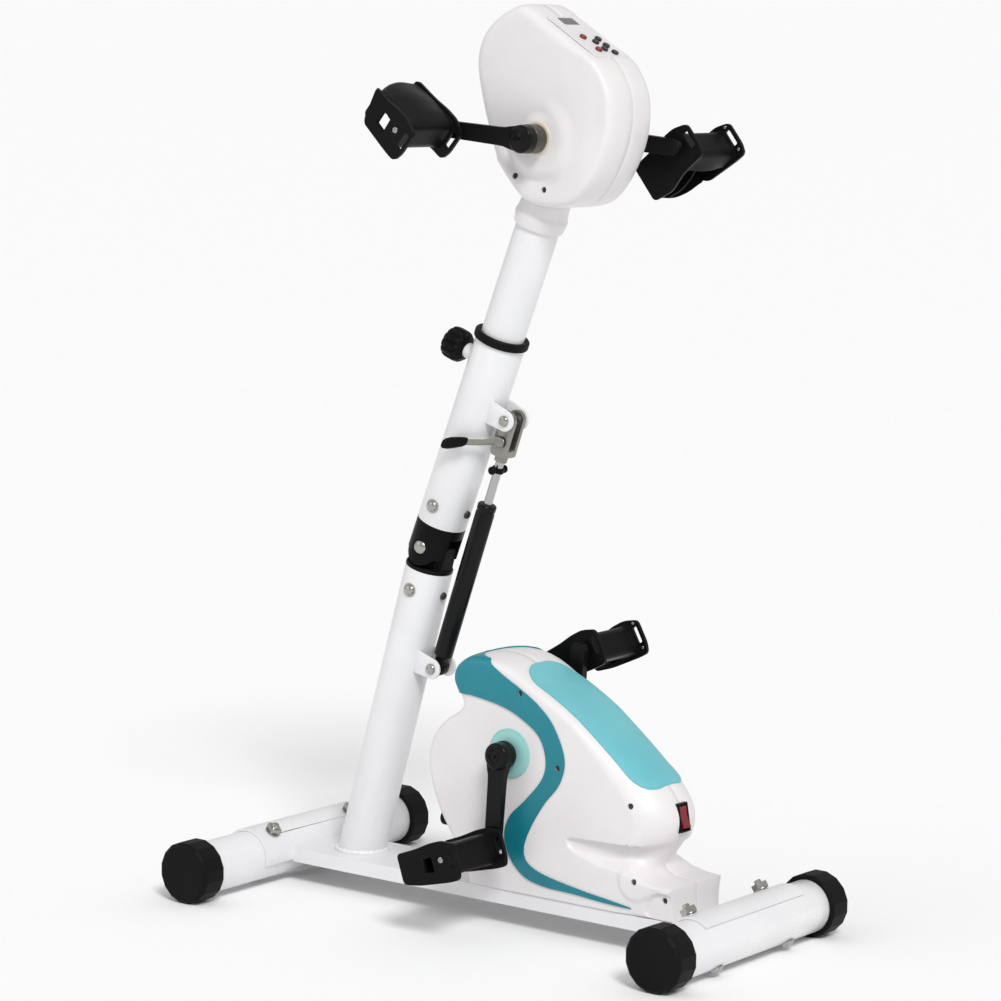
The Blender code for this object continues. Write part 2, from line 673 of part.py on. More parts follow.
def build_strut():
    """Locking gas spring: cylinder, rod with its release head, and the hand lever."""
    build_pin("strut_lower_pin", STRUT_LOW, LOWER_ACROSS)
    build_pin("strut_upper_pin", STRUT_HIGH, UPPER_ACROSS)
    bore_r = CYLINDER_R - CYLINDER_WALL
    mouth_r = ROD_R + GAP
    profile = [(CYLINDER_START, CYLINDER_R - 0.001), (CYLINDER_START + 0.001, CYLINDER_R), (CYLINDER_END - 0.002, CYLINDER_R),
               (CYLINDER_END, CYLINDER_R - 0.002), (CYLINDER_END, mouth_r), (CYLINDER_END - GLAND_DEPTH, mouth_r),
               (CYLINDER_END - GLAND_DEPTH, bore_r), (CYLINDER_START + CYLINDER_CLOSED, bore_r)]
    shape = turned(STRUT_LOW, STRUT_UP, STRUT_ACROSS, profile, count=24)
    cylinder = add_object("strut_cylinder", shape, "black_paint", origin=STRUT_LOW)
    eye_half = STRUT_EYE_WIDTH / 2
    neck = 0.0055
    eye = arc((0, 0), STRUT_EYE_R, 180 - 55, 360 + 55, 12) + [(neck, CYLINDER_START + 0.001), (-neck, CYLINDER_START + 0.001)]
    join(cylinder, frame_prism(STRUT_LOW, STRUT_UP, STRUT_ACROSS, eye, -eye_half, eye_half), "eye")
    hole = rod(STRUT_LOW - Y_AXIS * EAR_GAP, Y_AXIS, STRUT_ACROSS, 2 * EAR_GAP, STRUT_PIN_R + GAP, 16)
    cut(cylinder, hole, "eye_bore")

    piston = bore_r - GAP
    profile = [(ROD_START, piston), (ROD_START + PISTON_LENGTH, piston), (ROD_START + PISTON_LENGTH, ROD_R),
               (RELEASE_START + 0.002, ROD_R)]
    shape = turned(STRUT_LOW, STRUT_UP, STRUT_ACROSS, profile, count=24)
    rod_object = add_object("strut_rod", shape, "chrome", origin=STRUT_HIGH)
    span = STRUT_UP.dot(STRUT_HIGH - STRUT_LOW)
    low = RELEASE_START - span
    body = [(-RELEASE_HALF_DEPTH, low), (-RELEASE_HALF_DEPTH, 0)] + arc((0, 0), RELEASE_HALF_DEPTH, 180, 0, 8)[1:-1]
    body += [(RELEASE_HALF_DEPTH, 0), (RELEASE_HALF_DEPTH, low)]
    half = RELEASE_HALF_WIDTH
    join(rod_object, frame_prism(STRUT_HIGH, STRUT_UP, STRUT_ACROSS, body, -half, half), "release")
    eye = rod(STRUT_HIGH - Y_AXIS * EAR_GAP, Y_AXIS, STRUT_ACROSS, 2 * EAR_GAP, STRUT_OPEN_EYE_R, 16)
    cut(rod_object, eye, "open_eye")
    spot = STRUT_LOW + STRUT_UP * LEVER_ALONG
    hole = rod(spot - Y_AXIS * EAR_GAP, Y_AXIS, STRUT_ACROSS, EAR_GAP, LEVER_PIN_R + GAP, 16)
    cut(rod_object, hole, "lever_bore")
    build_lever(spot)


def build_lever(spot):
    """Cranked hand lever that swings beside the sleeve and frees the strut."""
    side_y = -(RELEASE_HALF_WIDTH + GAP)
    back = -STRUT_ACROSS
    root = spot + Y_AXIS * side_y
    bend = root + back * LEVER_ARM - Y_AXIS * LEVER_SWING - STRUT_UP * 0.010
    grip = bend + back * LEVER_GRIP * 0.8 - Y_AXIS * 0.004 - STRUT_UP * 0.012
    stations = [(root - back * 0.006, 0.0045, LEVER_WALL / 2), (root, 0.0060, LEVER_WALL / 2),
                (root + back * 0.008, 0.0050, LEVER_WALL / 2), (bend, 0.0045, LEVER_WALL / 2),
                (bend + (grip - bend) * 0.05, 0.0060, 0.0045), (bend + (grip - bend) * 0.6, 0.0075, 0.0050),
                (grip, 0.0045, 0.0035)]
    rings = []
    for centre, half_height, half_wall in stations:
        middle = centre - Y_AXIS * half_wall
        ring = [middle + STRUT_UP * a + Y_AXIS * b for a, b in ellipse(half_height, half_wall, 12)]
        rings.append(ring)
    lever = add_object("release_lever", loft(rings), "black_plastic", origin=spot)
    pin = rod(spot + Y_AXIS * (side_y - LEVER_WALL / 2), Y_AXIS, STRUT_ACROSS, 0.008, LEVER_PIN_R, 16)
    join(lever, pin, "pin")


def ellipse(half_a, half_b, count):
    """Points of a rounded lever section."""
    points = []
    for i in range(count):
        angle = 2 * math.pi * (i + 0.5) / count
        points.append((half_a * math.cos(angle), half_b * math.sin(angle)))
    return points


# Leg drive housing

def housing_outline():
    """Side view of the leg drive housing, clockwise seen from the near side."""
    floor = HOUSING_FLOOR + GAP
    rear = [(-0.0243, floor), (-0.034, 0.070), (-0.053, 0.096), (-0.068, 0.120), (-0.080, 0.150),
            (-0.0845, 0.178), (-0.078, 0.206), (-0.062, 0.226), (-0.044, 0.238), (-0.036, 0.248),
            (-0.041, 0.259), (-0.0475, 0.273), (-0.0450, 0.288), (-0.031, 0.3005)]
    top = [(-0.010, 0.3050), (0.012, 0.3040), (0.032, 0.2985), (0.046, 0.2920), (0.060, 0.2842),
           (0.080, 0.2747), (0.100, 0.2640), (0.120, 0.2520), (0.140, 0.2395), (0.160, 0.2265),
           (0.180, 0.2130), (0.200, 0.1985)]
    nose = [(0.2125, 0.1890), (0.2215, 0.1795), (0.2295, 0.1695), (0.2359, 0.1590), (0.2390, 0.1480),
            (0.2385, 0.1360), (0.2345, 0.1235), (0.2265, 0.1110), (0.2180, 0.0985), (0.2150, 0.0890)]
    foot = [(0.2300, 0.0815), (0.2577, 0.0795), (0.2577, floor), (0.120, floor)]
    return rear + top + nose + foot


def housing_ring(y, offset, lift):
    """Housing outline at one Y, drawn back towards the sides at its nose."""
    reach = abs(y) / HOUSING_HALF
    floor = HOUSING_FLOOR + GAP
    ring = []
    for old, (x, z) in zip(housing_outline(), inset(housing_outline(), offset)):
        ease = min(max((x - NOSE_EASE_START) / (NOSE_EASE_END - NOSE_EASE_START), 0), 1)
        above = min(max((z - NOSE_LOW) / 0.020, 0), 1)
        back = NOSE_SETBACK * reach ** 3 * ease * above
        height = floor + lift if old[1] < floor + RUN else z
        ring.append(Vector((x - back, y, height)))
    return ring


def lifted(section, distance):
    """Moves a half section of (y, offset) pairs outwards; its ends stay level and upright."""
    moved = []
    for i, (y, offset) in enumerate(section):
        if i == 0:
            run = Vector((1, 0))
        elif i == len(section) - 1:
            run = Vector((0, 1))
        else:
            run = (Vector(section[i + 1]) - Vector(section[i - 1])).normalized()
        moved.append((y + run.y * distance, offset - run.x * distance))
    return moved


def housing_solid(distance, sides=(-1, 1)):
    """Solid that follows the housing at a distance outside it, on one side or on both."""
    half = lifted(HOUSING_SECTION, distance)
    if len(sides) == 2:
        stations = [(-y, offset) for y, offset in reversed(half[1:])] + half
    else:
        stations = [(sides[0] * max(y, GAP / 2), offset) for y, offset in half]
    return loft([housing_ring(y, offset, -distance) for y, offset in stations])


def build_housing():
    """Two half shells that meet on the middle plane, and the trim on them."""
    wall = HOUSING_WALL
    inside = [(HOUSING_HALF - wall, 0.0100), (0.0400, wall + 0.0022), (0, wall)]
    for side, label in ((-1, "near"), (1, "far")):
        rings = [housing_ring(side * max(y, GAP / 2), offset, 0) for y, offset in HOUSING_SECTION]
        rings += [housing_ring(side * max(y, GAP / 2), offset, wall) for y, offset in inside]
        shape = housing_shell(rings, len(HOUSING_SECTION))
        shell = add_object(f"lower_{label}_shell", shape, "white_plastic")
        hole = rod(LOW_AXLE, Y_AXIS * side, X_AXIS, 2 * HOUSING_HALF, HOUSING_HOLE_R, 24)
        cut(shell, hole, "axle")
        half_y = SWITCH_HALF_Y + GAP
        cut(shell, switch_block(SWITCH_HALF_HEIGHT + GAP, half_y, -SWITCH_DEPTH - GAP, SWITCH_DEPTH), "switch")
        if side < 0:
            neck_r = INLET_R - INLET_RIM + GAP
            neck = rod(INLET - X_AXIS * INLET_DEPTH, X_AXIS, Y_AXIS, 2 * INLET_DEPTH, neck_r, 20)
            cut(shell, neck, "inlet")
        build_band(side, label)
    build_strip()
    build_switch()
    build_inlet()


def housing_shell(rings, outer_count):
    """Half shell: the outer skin ends in the side wall, and the inner skin ends in its own."""
    shape = bmesh.new()
    rows = [[shape.verts.new(point) for point in ring] for ring in rings]
    count = len(rows[0])
    order = list(range(outer_count)), list(range(outer_count, len(rows)))
    pairs = list(zip(order[0][:-1], order[0][1:])) + list(zip(order[1][:-1], order[1][1:]))
    pairs.append((order[1][-1], order[0][0]))
    for a, b in pairs:
        for i in range(count):
            j = (i + 1) % count
            shape.faces.new((rows[a][i], rows[a][j], rows[b][j], rows[b][i]))
    shape.faces.new(rows[outer_count - 1])
    shape.faces.new(rows[outer_count])
    return shape


def band_outline():
    """S-shaped side band, clockwise seen from the near side; it runs off the housing at the top rear."""
    upper = [(-0.060, 0.266), (-0.060, 0.320), (-0.010, 0.320), (0.004, 0.302), (0.018, 0.292)]
    front = [(0.034, 0.283), (0.050, 0.275), (0.076, 0.259), (0.097, 0.238), (0.112, 0.204), (0.106, 0.175),
             (0.085, 0.149), (0.066, 0.118), (0.058, 0.094), (0.064, 0.079), (0.088, 0.069), (0.140, 0.060),
             (0.176, 0.0555)]
    tip = [(0.2067, 0.0508)]
    back = [(0.170, 0.0515), (0.128, 0.0545), (0.088, 0.0562), (0.060, 0.063), (0.040, 0.081), (0.031, 0.106),
            (0.038, 0.129), (0.059, 0.150), (0.082, 0.177), (0.087, 0.200), (0.077, 0.225), (0.050, 0.243),
            (0.022, 0.253), (-0.014, 0.259)]
    return upper + front + tip + back


def ridge_outline():
    """Plan of the white ridge that runs back between the two side bands, pointed at the rear."""
    half = [(0.090, 0.0450), (0.006, 0.0440), (-0.007, 0.0400), (-0.018, 0.0280), (-0.026, 0.0140)]
    return half + [(-0.030, 0)] + [(x, -y) for x, y in reversed(half)]


def plan_prism(outline, low, high):
    """Extrudes (x, y) points between two heights."""
    return loft([[Vector((x, y, z)) for x, y in outline] for z in (low, high)])


def build_band(side, label):
    """Thin S-shaped band that lies on the side and wraps over the housing's top at its rear."""
    band = add_object(f"{label}_side_band", housing_solid(GAP + TRIM_THICKNESS, [side]), "teal_plastic")
    low, high = sorted((0, side * 2 * HOUSING_HALF))
    outline = prism(smooth(band_outline(), steps=2), low, high)
    guide = add_object(f"{label}_side_band_outline_guide", outline, "guide")
    boolean(band, guide, "INTERSECT")
    cut(band, housing_solid(GAP), "seat")
    cut(band, plan_prism(ridge_outline(), RIDGE_LOW, RIDGE_HIGH), "ridge")


def strip_outline():
    """Plan of the cover strip, with round corners that are wider at its upper end."""
    half = STRIP_HALF_WIDTH
    points = []
    for x, radius, start in ((STRIP_START, STRIP_TOP_ROUND, 180), (STRIP_END, -STRIP_LOW_ROUND, 90)):
        corner = arc((x + radius, half - abs(radius)), abs(radius), start, start - 90, 5)
        points += corner
    return points + [(x, -y) for x, y in reversed(points)]


def build_strip():
    """Cover strip that lies on the sloping top, with round ends in plan."""
    strip = add_object("top_strip", housing_solid(GAP + TRIM_THICKNESS), "light_teal_plastic")
    guide = add_object("top_strip_outline_guide", plan_prism(strip_outline(), STRIP_LOW, RIDGE_HIGH), "guide")
    boolean(strip, guide, "INTERSECT")
    cut(strip, housing_solid(GAP), "seat")


def switch_block(half_height, half_y, inner, outer):
    """Box square to the leaning face of the rocker switch."""
    outline = [(inner, -half_height), (outer, -half_height), (outer, half_height), (inner, half_height)]
    return frame_prism(SWITCH, SWITCH_UP, SWITCH_OUT, outline, -half_y, half_y)


def build_switch():
    """Rocker switch in its black frame, on the nose of the housing."""
    frame_box = switch_block(SWITCH_HALF_HEIGHT, SWITCH_HALF_Y, -SWITCH_DEPTH, SWITCH_FACE)
    frame = add_object("switch_frame", frame_box, "black_plastic")
    opening_y = SWITCH_HALF_Y - SWITCH_WALL
    opening_height = SWITCH_HALF_HEIGHT - SWITCH_WALL
    cut(frame, switch_block(opening_height, opening_y, SWITCH_WALL - SWITCH_DEPTH, SWITCH_DEPTH), "opening")
    tall = opening_height - 0.0016
    heel = -0.0035
    back = arc((0, 0), 0.0060, 120, 240, 6)
    outline = [(SWITCH_FACE + 0.0010, -tall), (SWITCH_FACE - 0.0006, 0), (SWITCH_FACE + 0.0010, tall), (heel, tall)]
    outline += back + [(heel, -tall)]
    turn = Matrix.Rotation(math.radians(ROCKER_TILT_DEG), 2)
    outline = [tuple(turn @ Vector(point)) for point in outline]
    half_y = opening_y - GAP
    shape = frame_prism(SWITCH, SWITCH_UP, SWITCH_OUT, outline, -half_y, half_y)
    add_object("rocker_switch", shape, "red_plastic", origin=SWITCH)


def build_inlet():
    """Round power inlet, with a blind socket, in the housing's rear wall."""
    neck = INLET_R - INLET_RIM
    profile = [(-INLET_DEPTH, neck), (INLET_SEAT, neck), (INLET_SEAT, INLET_R), (INLET_REACH - 0.001, INLET_R),
               (INLET_REACH, INLET_R - 0.001), (INLET_REACH, INLET_BORE_R), (INLET_RIM - INLET_DEPTH, INLET_BORE_R)]
    add_object("power_inlet", turned(INLET, -X_AXIS, Y_AXIS, profile, count=20), "black_plastic")


# Cranks and pedals

def crank_direction(degrees):
    angle = math.radians(degrees)
    return Vector((math.cos(angle), 0, math.sin(angle)))


def build_crank(name, axle, side, degrees, hub_inner):
    """Hub with a blind bore on the axle, flat arm, and the pedal's spindle."""
    out = Y_AXIS * side
    along = crank_direction(degrees)
    across = Y_AXIS.cross(along)
    bore = AXLE_R + GAP
    bore_end = AXLE_HALF + GAP
    profile = [(hub_inner, HUB_R), (HUB_OUTER - 0.0015, HUB_R), (HUB_OUTER, HUB_R - 0.0015)]
    rings = [circle(axle + out * bore_end, out, along, bore, 24), circle(axle + out * hub_inner, out, along, bore, 24)]
    rings += [circle(axle + out * y, out, along, radius, 24) for y, radius in profile]
    crank = add_object(name, loft(rings), "black_steel", origin=axle)
    tip = axle + along * CRANK_LENGTH
    root = HUB_R * 0.7
    end = arc((0, CRANK_LENGTH), ARM_TIP_HALF, 0, 180, 8)
    outline = [(-ARM_ROOT_HALF, root), (ARM_ROOT_HALF, root)] + end
    low, high = sorted((side * ARM_INNER, side * ARM_OUTER))
    join(crank, frame_prism(axle, along, across, outline, low, high), "arm")
    spindle_end = PEDAL_INNER + PEDAL_WIDTH - PEDAL_PLATE
    spindle = turned(tip, out, along, [(ARM_INNER + 0.001, SPINDLE_R), (spindle_end - 0.001, SPINDLE_R),
                                       (spindle_end, SPINDLE_R - 0.001)], count=16)
    join(crank, spindle, "spindle")
    return tip


def pedal_points(front, rear, top, bottom, rear_bottom):
    """Side view of a pedal plate, clockwise."""
    return [(-rear, -rear_bottom), (-rear, top), (front, top), (front, -bottom), (0.0, -bottom)]


def pedal_stations(inner_rear, outer_rear):
    """Distance from the middle plane and outline at each step from the inner to the outer end plate."""
    inner = PEDAL_INNER + RUN
    outer = PEDAL_INNER + PEDAL_WIDTH
    slim = PEDAL_BODY_INSET
    stations = []
    for y, body in ((inner, 0), (inner + PEDAL_PLATE, 0), (inner + PEDAL_PLATE, 1),
                    (outer - PEDAL_PLATE, 1), (outer - PEDAL_PLATE, 0), (outer, 0)):
        rear = inner_rear + (outer_rear - inner_rear) * (y - inner) / (outer - inner)
        if body:
            points = pedal_points(PEDAL_BODY_FRONT, rear - slim, PEDAL_TOP - slim, PEDAL_BOTTOM - slim,
                                  PEDAL_REAR_BOTTOM - slim)
        else:
            points = pedal_points(PEDAL_FRONT, rear, PEDAL_TOP, PEDAL_BOTTOM, PEDAL_REAR_BOTTOM)
        stations.append((y, rounded(points, PEDAL_CORNER_R - body * 0.001, 2)))
    return stations


def build_pedal(name, centre, side, degrees, inner_rear, outer_rear):
    """Foot pedal or hand grip: two end plates, with strap slots, on a slimmer body."""
    turn = Matrix.Rotation(math.radians(degrees), 2)
    rings = []
    for y, outline in pedal_stations(inner_rear, outer_rear):
        ring = []
        for point in outline:
            x, z = turn @ Vector(point)
            ring.append(centre + Vector((x, side * y, z)))
        rings.append(ring)
    pedal = add_object(name, loft(rings), "black_plastic", origin=centre)
    bore_length = PEDAL_WIDTH - PEDAL_PLATE + 2 * RUN
    bore_start = centre + Y_AXIS * side * (PEDAL_INNER - RUN)
    cut(pedal, rod(bore_start, Y_AXIS * side, X_AXIS, bore_length, SPINDLE_R + RUN, 16), "bore")
    middle = Vector(((PEDAL_FRONT + PEDAL_BODY_FRONT) / 2, (PEDAL_TOP - PEDAL_BOTTOM) / 2))
    outline = []
    for across, along in ((-1, -1), (-1, 1), (1, 1), (1, -1)):
        spot = turn @ (middle + Vector((across * SLOT_WIDTH / 2, along * SLOT_LENGTH / 2)))
        outline.append((centre.x + spot.x, centre.z + spot.y))
    low, high = sorted((side * (PEDAL_INNER - 0.002), side * (PEDAL_INNER + PEDAL_WIDTH + 0.002)))
    cut(pedal, prism(outline, low, high), "strap_slot")


def build_leg_drive():
    """Axle, cranks and pedals of the leg drive, with the belt drive inside."""
    side = X_AXIS
    add_object("lower_axle", rod(LOW_AXLE - Y_AXIS * AXLE_HALF, Y_AXIS, side, 2 * AXLE_HALF, AXLE_R, 24), "steel",
               origin=LOW_AXLE)
    near = build_crank("lower_near_crank", LOW_AXLE, -1, LOW_CRANK_DEG, LOW_HUB_INNER)
    far = build_crank("lower_far_crank", LOW_AXLE, 1, LOW_CRANK_DEG + 180, LOW_HUB_INNER)
    build_pedal("lower_near_pedal", near, -1, LOW_NEAR_PEDAL_DEG, PEDAL_REAR, PEDAL_REAR)
    build_pedal("lower_far_pedal", far, 1, LOW_FAR_PEDAL_DEG, PEDAL_REAR, PEDAL_REAR)

    low = DRIVE_PULLEY_Y
    high = low + PULLEY_WIDTH
    bore = AXLE_R + GAP
    profile = [(low, bore), (low, DRIVE_PULLEY_R + 0.003), (low + 0.001, DRIVE_PULLEY_R + 0.003), (low + 0.001, DRIVE_PULLEY_R),
               (high - 0.001, DRIVE_PULLEY_R), (high - 0.001, DRIVE_PULLEY_R + 0.003), (high, DRIVE_PULLEY_R + 0.003),
               (high, bore)]
    pulley = turned(LOW_AXLE, Y_AXIS, side, profile, closed=True)
    add_object("drive_pulley", pulley, "grey_plastic", origin=LOW_AXLE)
    small = MOTOR_PULLEY_R
    profile = [(-0.020, MOTOR_SHAFT_R), (low, MOTOR_SHAFT_R), (low, small + 0.002), (low + 0.001, small + 0.002),
               (low + 0.001, small), (high - 0.001, small), (high - 0.001, small + 0.002), (high, small + 0.002)]
    add_object("motor_pulley", turned(MOTOR_CENTRE, Y_AXIS, side, profile, count=24), "steel", origin=MOTOR_CENTRE)
    belt_low = low + 0.001 + GAP
    belt_high = high - 0.001 - GAP
    outside = belt_loop(GAP + BELT_THICKNESS)
    inside = belt_loop(GAP)
    rings = [[Vector((x, y, z)) for x, z in loop] for loop, y in ((outside, belt_low), (outside, belt_high),
                                                                (inside, belt_high), (inside, belt_low))]
    add_object("drive_belt", loft(rings, closed=True), "black_rubber")

    plate_high = -0.002
    plate_low = plate_high - PLATE_THICKNESS
    motor_end = plate_low - GAP
    profile = [(motor_end - MOTOR_LENGTH, MOTOR_R - 0.002), (motor_end - MOTOR_LENGTH + 0.002, MOTOR_R), (motor_end, MOTOR_R),
               (motor_end, MOTOR_SHAFT_R + RUN), (motor_end - 0.016, MOTOR_SHAFT_R + RUN)]
    add_object("leg_motor", turned(MOTOR_CENTRE, Y_AXIS, side, profile, count=24), "black_steel")
    build_bracket(plate_low, plate_high)


def belt_loop(clearance):
    """Outline of a belt round both pulleys, at a clearance outside them."""
    big = DRIVE_PULLEY_R + clearance
    small = MOTOR_PULLEY_R + clearance
    span = Vector((MOTOR_CENTRE.x - LOW_AXLE.x, MOTOR_CENTRE.z - LOW_AXLE.z))
    heading = math.degrees(math.atan2(span.y, span.x))
    wrap = math.degrees(math.acos((big - small) / span.length))
    large = arc((LOW_AXLE.x, LOW_AXLE.z), big, heading + wrap, heading + 360 - wrap, 24)
    little = arc((MOTOR_CENTRE.x, MOTOR_CENTRE.z), small, heading - wrap, heading + wrap, 10)
    return large + little


def build_bracket(plate_low, plate_high):
    """Steel plate that carries the axle bearing and the motor, on a foot in the housing."""
    floor = HOUSING_FLOOR + GAP + HOUSING_WALL + GAP
    axle = (LOW_AXLE.x, LOW_AXLE.z)
    motor = (MOTOR_CENTRE.x, MOTOR_CENTRE.z)
    outline = [(axle[0] - 0.045, floor)] + arc(axle, BEARING_R + 0.004, 195, 45, 8)
    outline += arc(motor, MOTOR_R + 0.002, 60, -40, 6) + [(motor[0] + 0.020, floor)]
    bracket = add_object("drive_bracket", prism(outline, plate_low, plate_high), "zinc")
    foot = block((axle[0] - 0.045, plate_low - 0.022, floor), (motor[0] + 0.020, plate_high - 0.001, floor + 0.003))
    join(bracket, foot, "foot")
    bearing = rod(LOW_AXLE + Y_AXIS * (plate_high - 0.0005 - BEARING_LENGTH), Y_AXIS, X_AXIS, BEARING_LENGTH,
                  BEARING_R, 24)
    join(bracket, bearing, "bearing")
    cut(bracket, rod(LOW_AXLE - Y_AXIS * 0.05, Y_AXIS, X_AXIS, 0.1, AXLE_R + GAP, 24), "axle")
    shaft = rod(MOTOR_CENTRE - Y_AXIS * 0.05, Y_AXIS, X_AXIS, 0.1, MOTOR_SHAFT_R + 0.001, 16)
    cut(bracket, shaft, "shaft")


# Arm drive head

def head_outline():
    """Side view of the arm drive head, clockwise seen from the near side."""
    rear = [(0.026, 0.822), (0.013, 0.836), (0.000, 0.853), (-0.009, 0.872), (-0.017, 0.898), (-0.024, 0.922),
            (-0.0295, 0.946), (-0.0315, 0.967), (-0.027, 0.988), (-0.015, 1.006), (0.006, 1.021), (0.028, 1.0290)]
    top = [(0.043, 1.0240), (0.0537, 1.0170), (0.0778, 1.0020), (0.1035, 0.9860), (0.1277, 0.9710), (0.140, 0.957),
           (0.150, 0.937)]
    front = [(0.1535, 0.915), (0.1515, 0.890), (0.144, 0.866), (0.132, 0.843), (0.117, 0.824), (0.103, 0.813),
             (0.083, 0.8085), (0.056, 0.8090), (0.037, 0.8140)]
    return rear + top + front


def head_ring(y, offset):
    """Head outline at one Y, drawn back towards the sides at its front."""
    reach = abs(y) / HEAD_HALF
    ring = []
    for x, z in inset(head_outline(), offset):
        ease = min(max((x - 0.060) / 0.080, 0), 1)
        back = 0.007 * reach ** 2 * ease
        ring.append(Vector((x - back, y, z)))
    return ring


def build_head():
    """Two half shells on the neck, joined on the middle plane."""
    for side, label in ((-1, "near"), (1, "far")):
        outer = [(0, 0), (0.028, 0), (0.0360, 0.0018), (0.0402, 0.0046), (HEAD_HALF, 0.0085)]
        wall = HEAD_WALL
        inner = [(HEAD_HALF - wall, 0.0105), (0.033, wall + 0.001), (0, wall)]
        rings = [head_ring(side * max(y, GAP / 2), offset) for y, offset in outer]
        rings += [head_ring(side * max(y, GAP / 2), offset) for y, offset in inner]
        shell = add_object(f"head_{label}_shell", housing_shell(rings, len(outer)), "white_plastic", origin=HIGH_AXLE)
        profile = [(HEAD_HALF - wall / 2, HEAD_BOSS_R), (HEAD_HALF + 0.001, HEAD_BOSS_R),
                   (HEAD_HALF + HEAD_BOSS_RISE, HEAD_BOSS_R - 0.005)]
        join(shell, turned(HIGH_AXLE, Y_AXIS * side, X_AXIS, profile), "boss")
        hole = rod(HIGH_AXLE, Y_AXIS * side, X_AXIS, 2 * HEAD_HALF, HOUSING_HOLE_R, 24)
        cut(shell, hole, "axle")
        neck = rod(PIVOT + UPPER_UP * (NECK_START - 0.02), UPPER_UP, UPPER_ACROSS, NECK_LENGTH + 0.02 + GAP, NECK_R + GAP)
        cut(shell, neck, "neck")
        cut(shell, panel_block(0.004, PANEL_LENGTH - 0.003, PANEL_HALF_WIDTH - 0.006, -0.012, 0.010), "panel")
    build_head_drive()
    build_panel()


def panel_block(start, end, half, low, high):
    """Box on the sloping panel, from lengths down the slope and heights above it."""
    outline = [(start, low), (end, low), (end, high), (start, high)]
    return frame_prism(PANEL_ORIGIN, PANEL_OUT, PANEL_DOWN, outline, -half, half)


def build_panel():
    """Control panel plate, display window and push buttons."""
    plate = add_object("control_panel", panel_block(0, PANEL_LENGTH, PANEL_HALF_WIDTH, GAP, GAP + PANEL_THICKNESS),
                       "white_plastic", origin=HIGH_AXLE)
    pocket = panel_block(WINDOW_ALONG - WINDOW_HALF_LENGTH - GAP, WINDOW_ALONG + WINDOW_HALF_LENGTH + GAP,
                         WINDOW_HALF_WIDTH + GAP, GAP + 0.0008, 0.010)
    cut(plate, pocket, "window")
    window = panel_block(WINDOW_ALONG - WINDOW_HALF_LENGTH, WINDOW_ALONG + WINDOW_HALF_LENGTH, WINDOW_HALF_WIDTH,
                         GAP + 0.0011, GAP + PANEL_THICKNESS + 0.0002)
    add_object("display_window", window, "display", origin=HIGH_AXLE)
    for name, (column, along) in BUTTONS.items():
        spot = PANEL_ORIGIN + PANEL_DOWN * along + Y_AXIS * (column * BUTTON_COLUMN)
        hole = rod(spot - PANEL_OUT * 0.002, PANEL_OUT, PANEL_DOWN, 0.008, BUTTON_R + GAP, 12)
        cut(plate, hole, name)
        top = GAP + PANEL_THICKNESS + BUTTON_HEIGHT
        flange = BUTTON_R + BUTTON_FLANGE
        profile = [(-0.0015, flange), (0, flange), (0, BUTTON_R), (top - 0.0005, BUTTON_R), (top, BUTTON_R - 0.0006)]
        finish = "red_plastic" if column < 0 else "dark_plastic"
        add_object(name, turned(spot, PANEL_OUT, PANEL_DOWN, profile, count=12), finish, origin=spot)


def build_head_drive():
    """Gear motor on a plug in the head tube, the axle through it, cranks and hand grips."""
    low = HIGH_AXLE - Vector((GEARBOX_HALF_X, GEARBOX_HALF_Y, GEARBOX_HALF_Z))
    high = HIGH_AXLE + Vector((GEARBOX_HALF_X, GEARBOX_HALF_Y, GEARBOX_HALF_Z))
    motor = add_object("arm_gear_motor", block(low, high), "black_steel", origin=HIGH_AXLE)
    can = rod(HIGH_AXLE + Vector((-0.002, 0, GEARBOX_HALF_Z - 0.002)), Z_AXIS, X_AXIS,
              HEAD_MOTOR_LENGTH, HEAD_MOTOR_R, 24)
    join(motor, can, "can")
    plug = rod(PIVOT + UPPER_UP * (POST_END - 0.020), UPPER_UP, UPPER_ACROSS, 0.040, POST_R - POST_WALL - GAP, 24)
    join(motor, plug, "plug")
    cut(motor, rod(HIGH_AXLE - Y_AXIS * 0.05, Y_AXIS, X_AXIS, 0.1, AXLE_R + GAP, 24), "axle")
    side = X_AXIS
    add_object("upper_axle", rod(HIGH_AXLE - Y_AXIS * AXLE_HALF, Y_AXIS, side, 2 * AXLE_HALF, AXLE_R, 24), "steel",
               origin=HIGH_AXLE)
    near = build_crank("upper_near_crank", HIGH_AXLE, -1, HIGH_CRANK_DEG, HIGH_HUB_INNER)
    far = build_crank("upper_far_crank", HIGH_AXLE, 1, HIGH_CRANK_DEG + 180, HIGH_HUB_INNER)
    build_pedal("upper_near_grip", near, -1, HIGH_NEAR_GRIP_DEG, GRIP_INNER_REAR, GRIP_OUTER_REAR)
    build_pedal("upper_far_grip", far, 1, HIGH_FAR_GRIP_DEG, GRIP_INNER_REAR, GRIP_OUTER_REAR)


for old in list(bpy.data.objects):
    bpy.data.objects.remove(old, do_unlink=True)

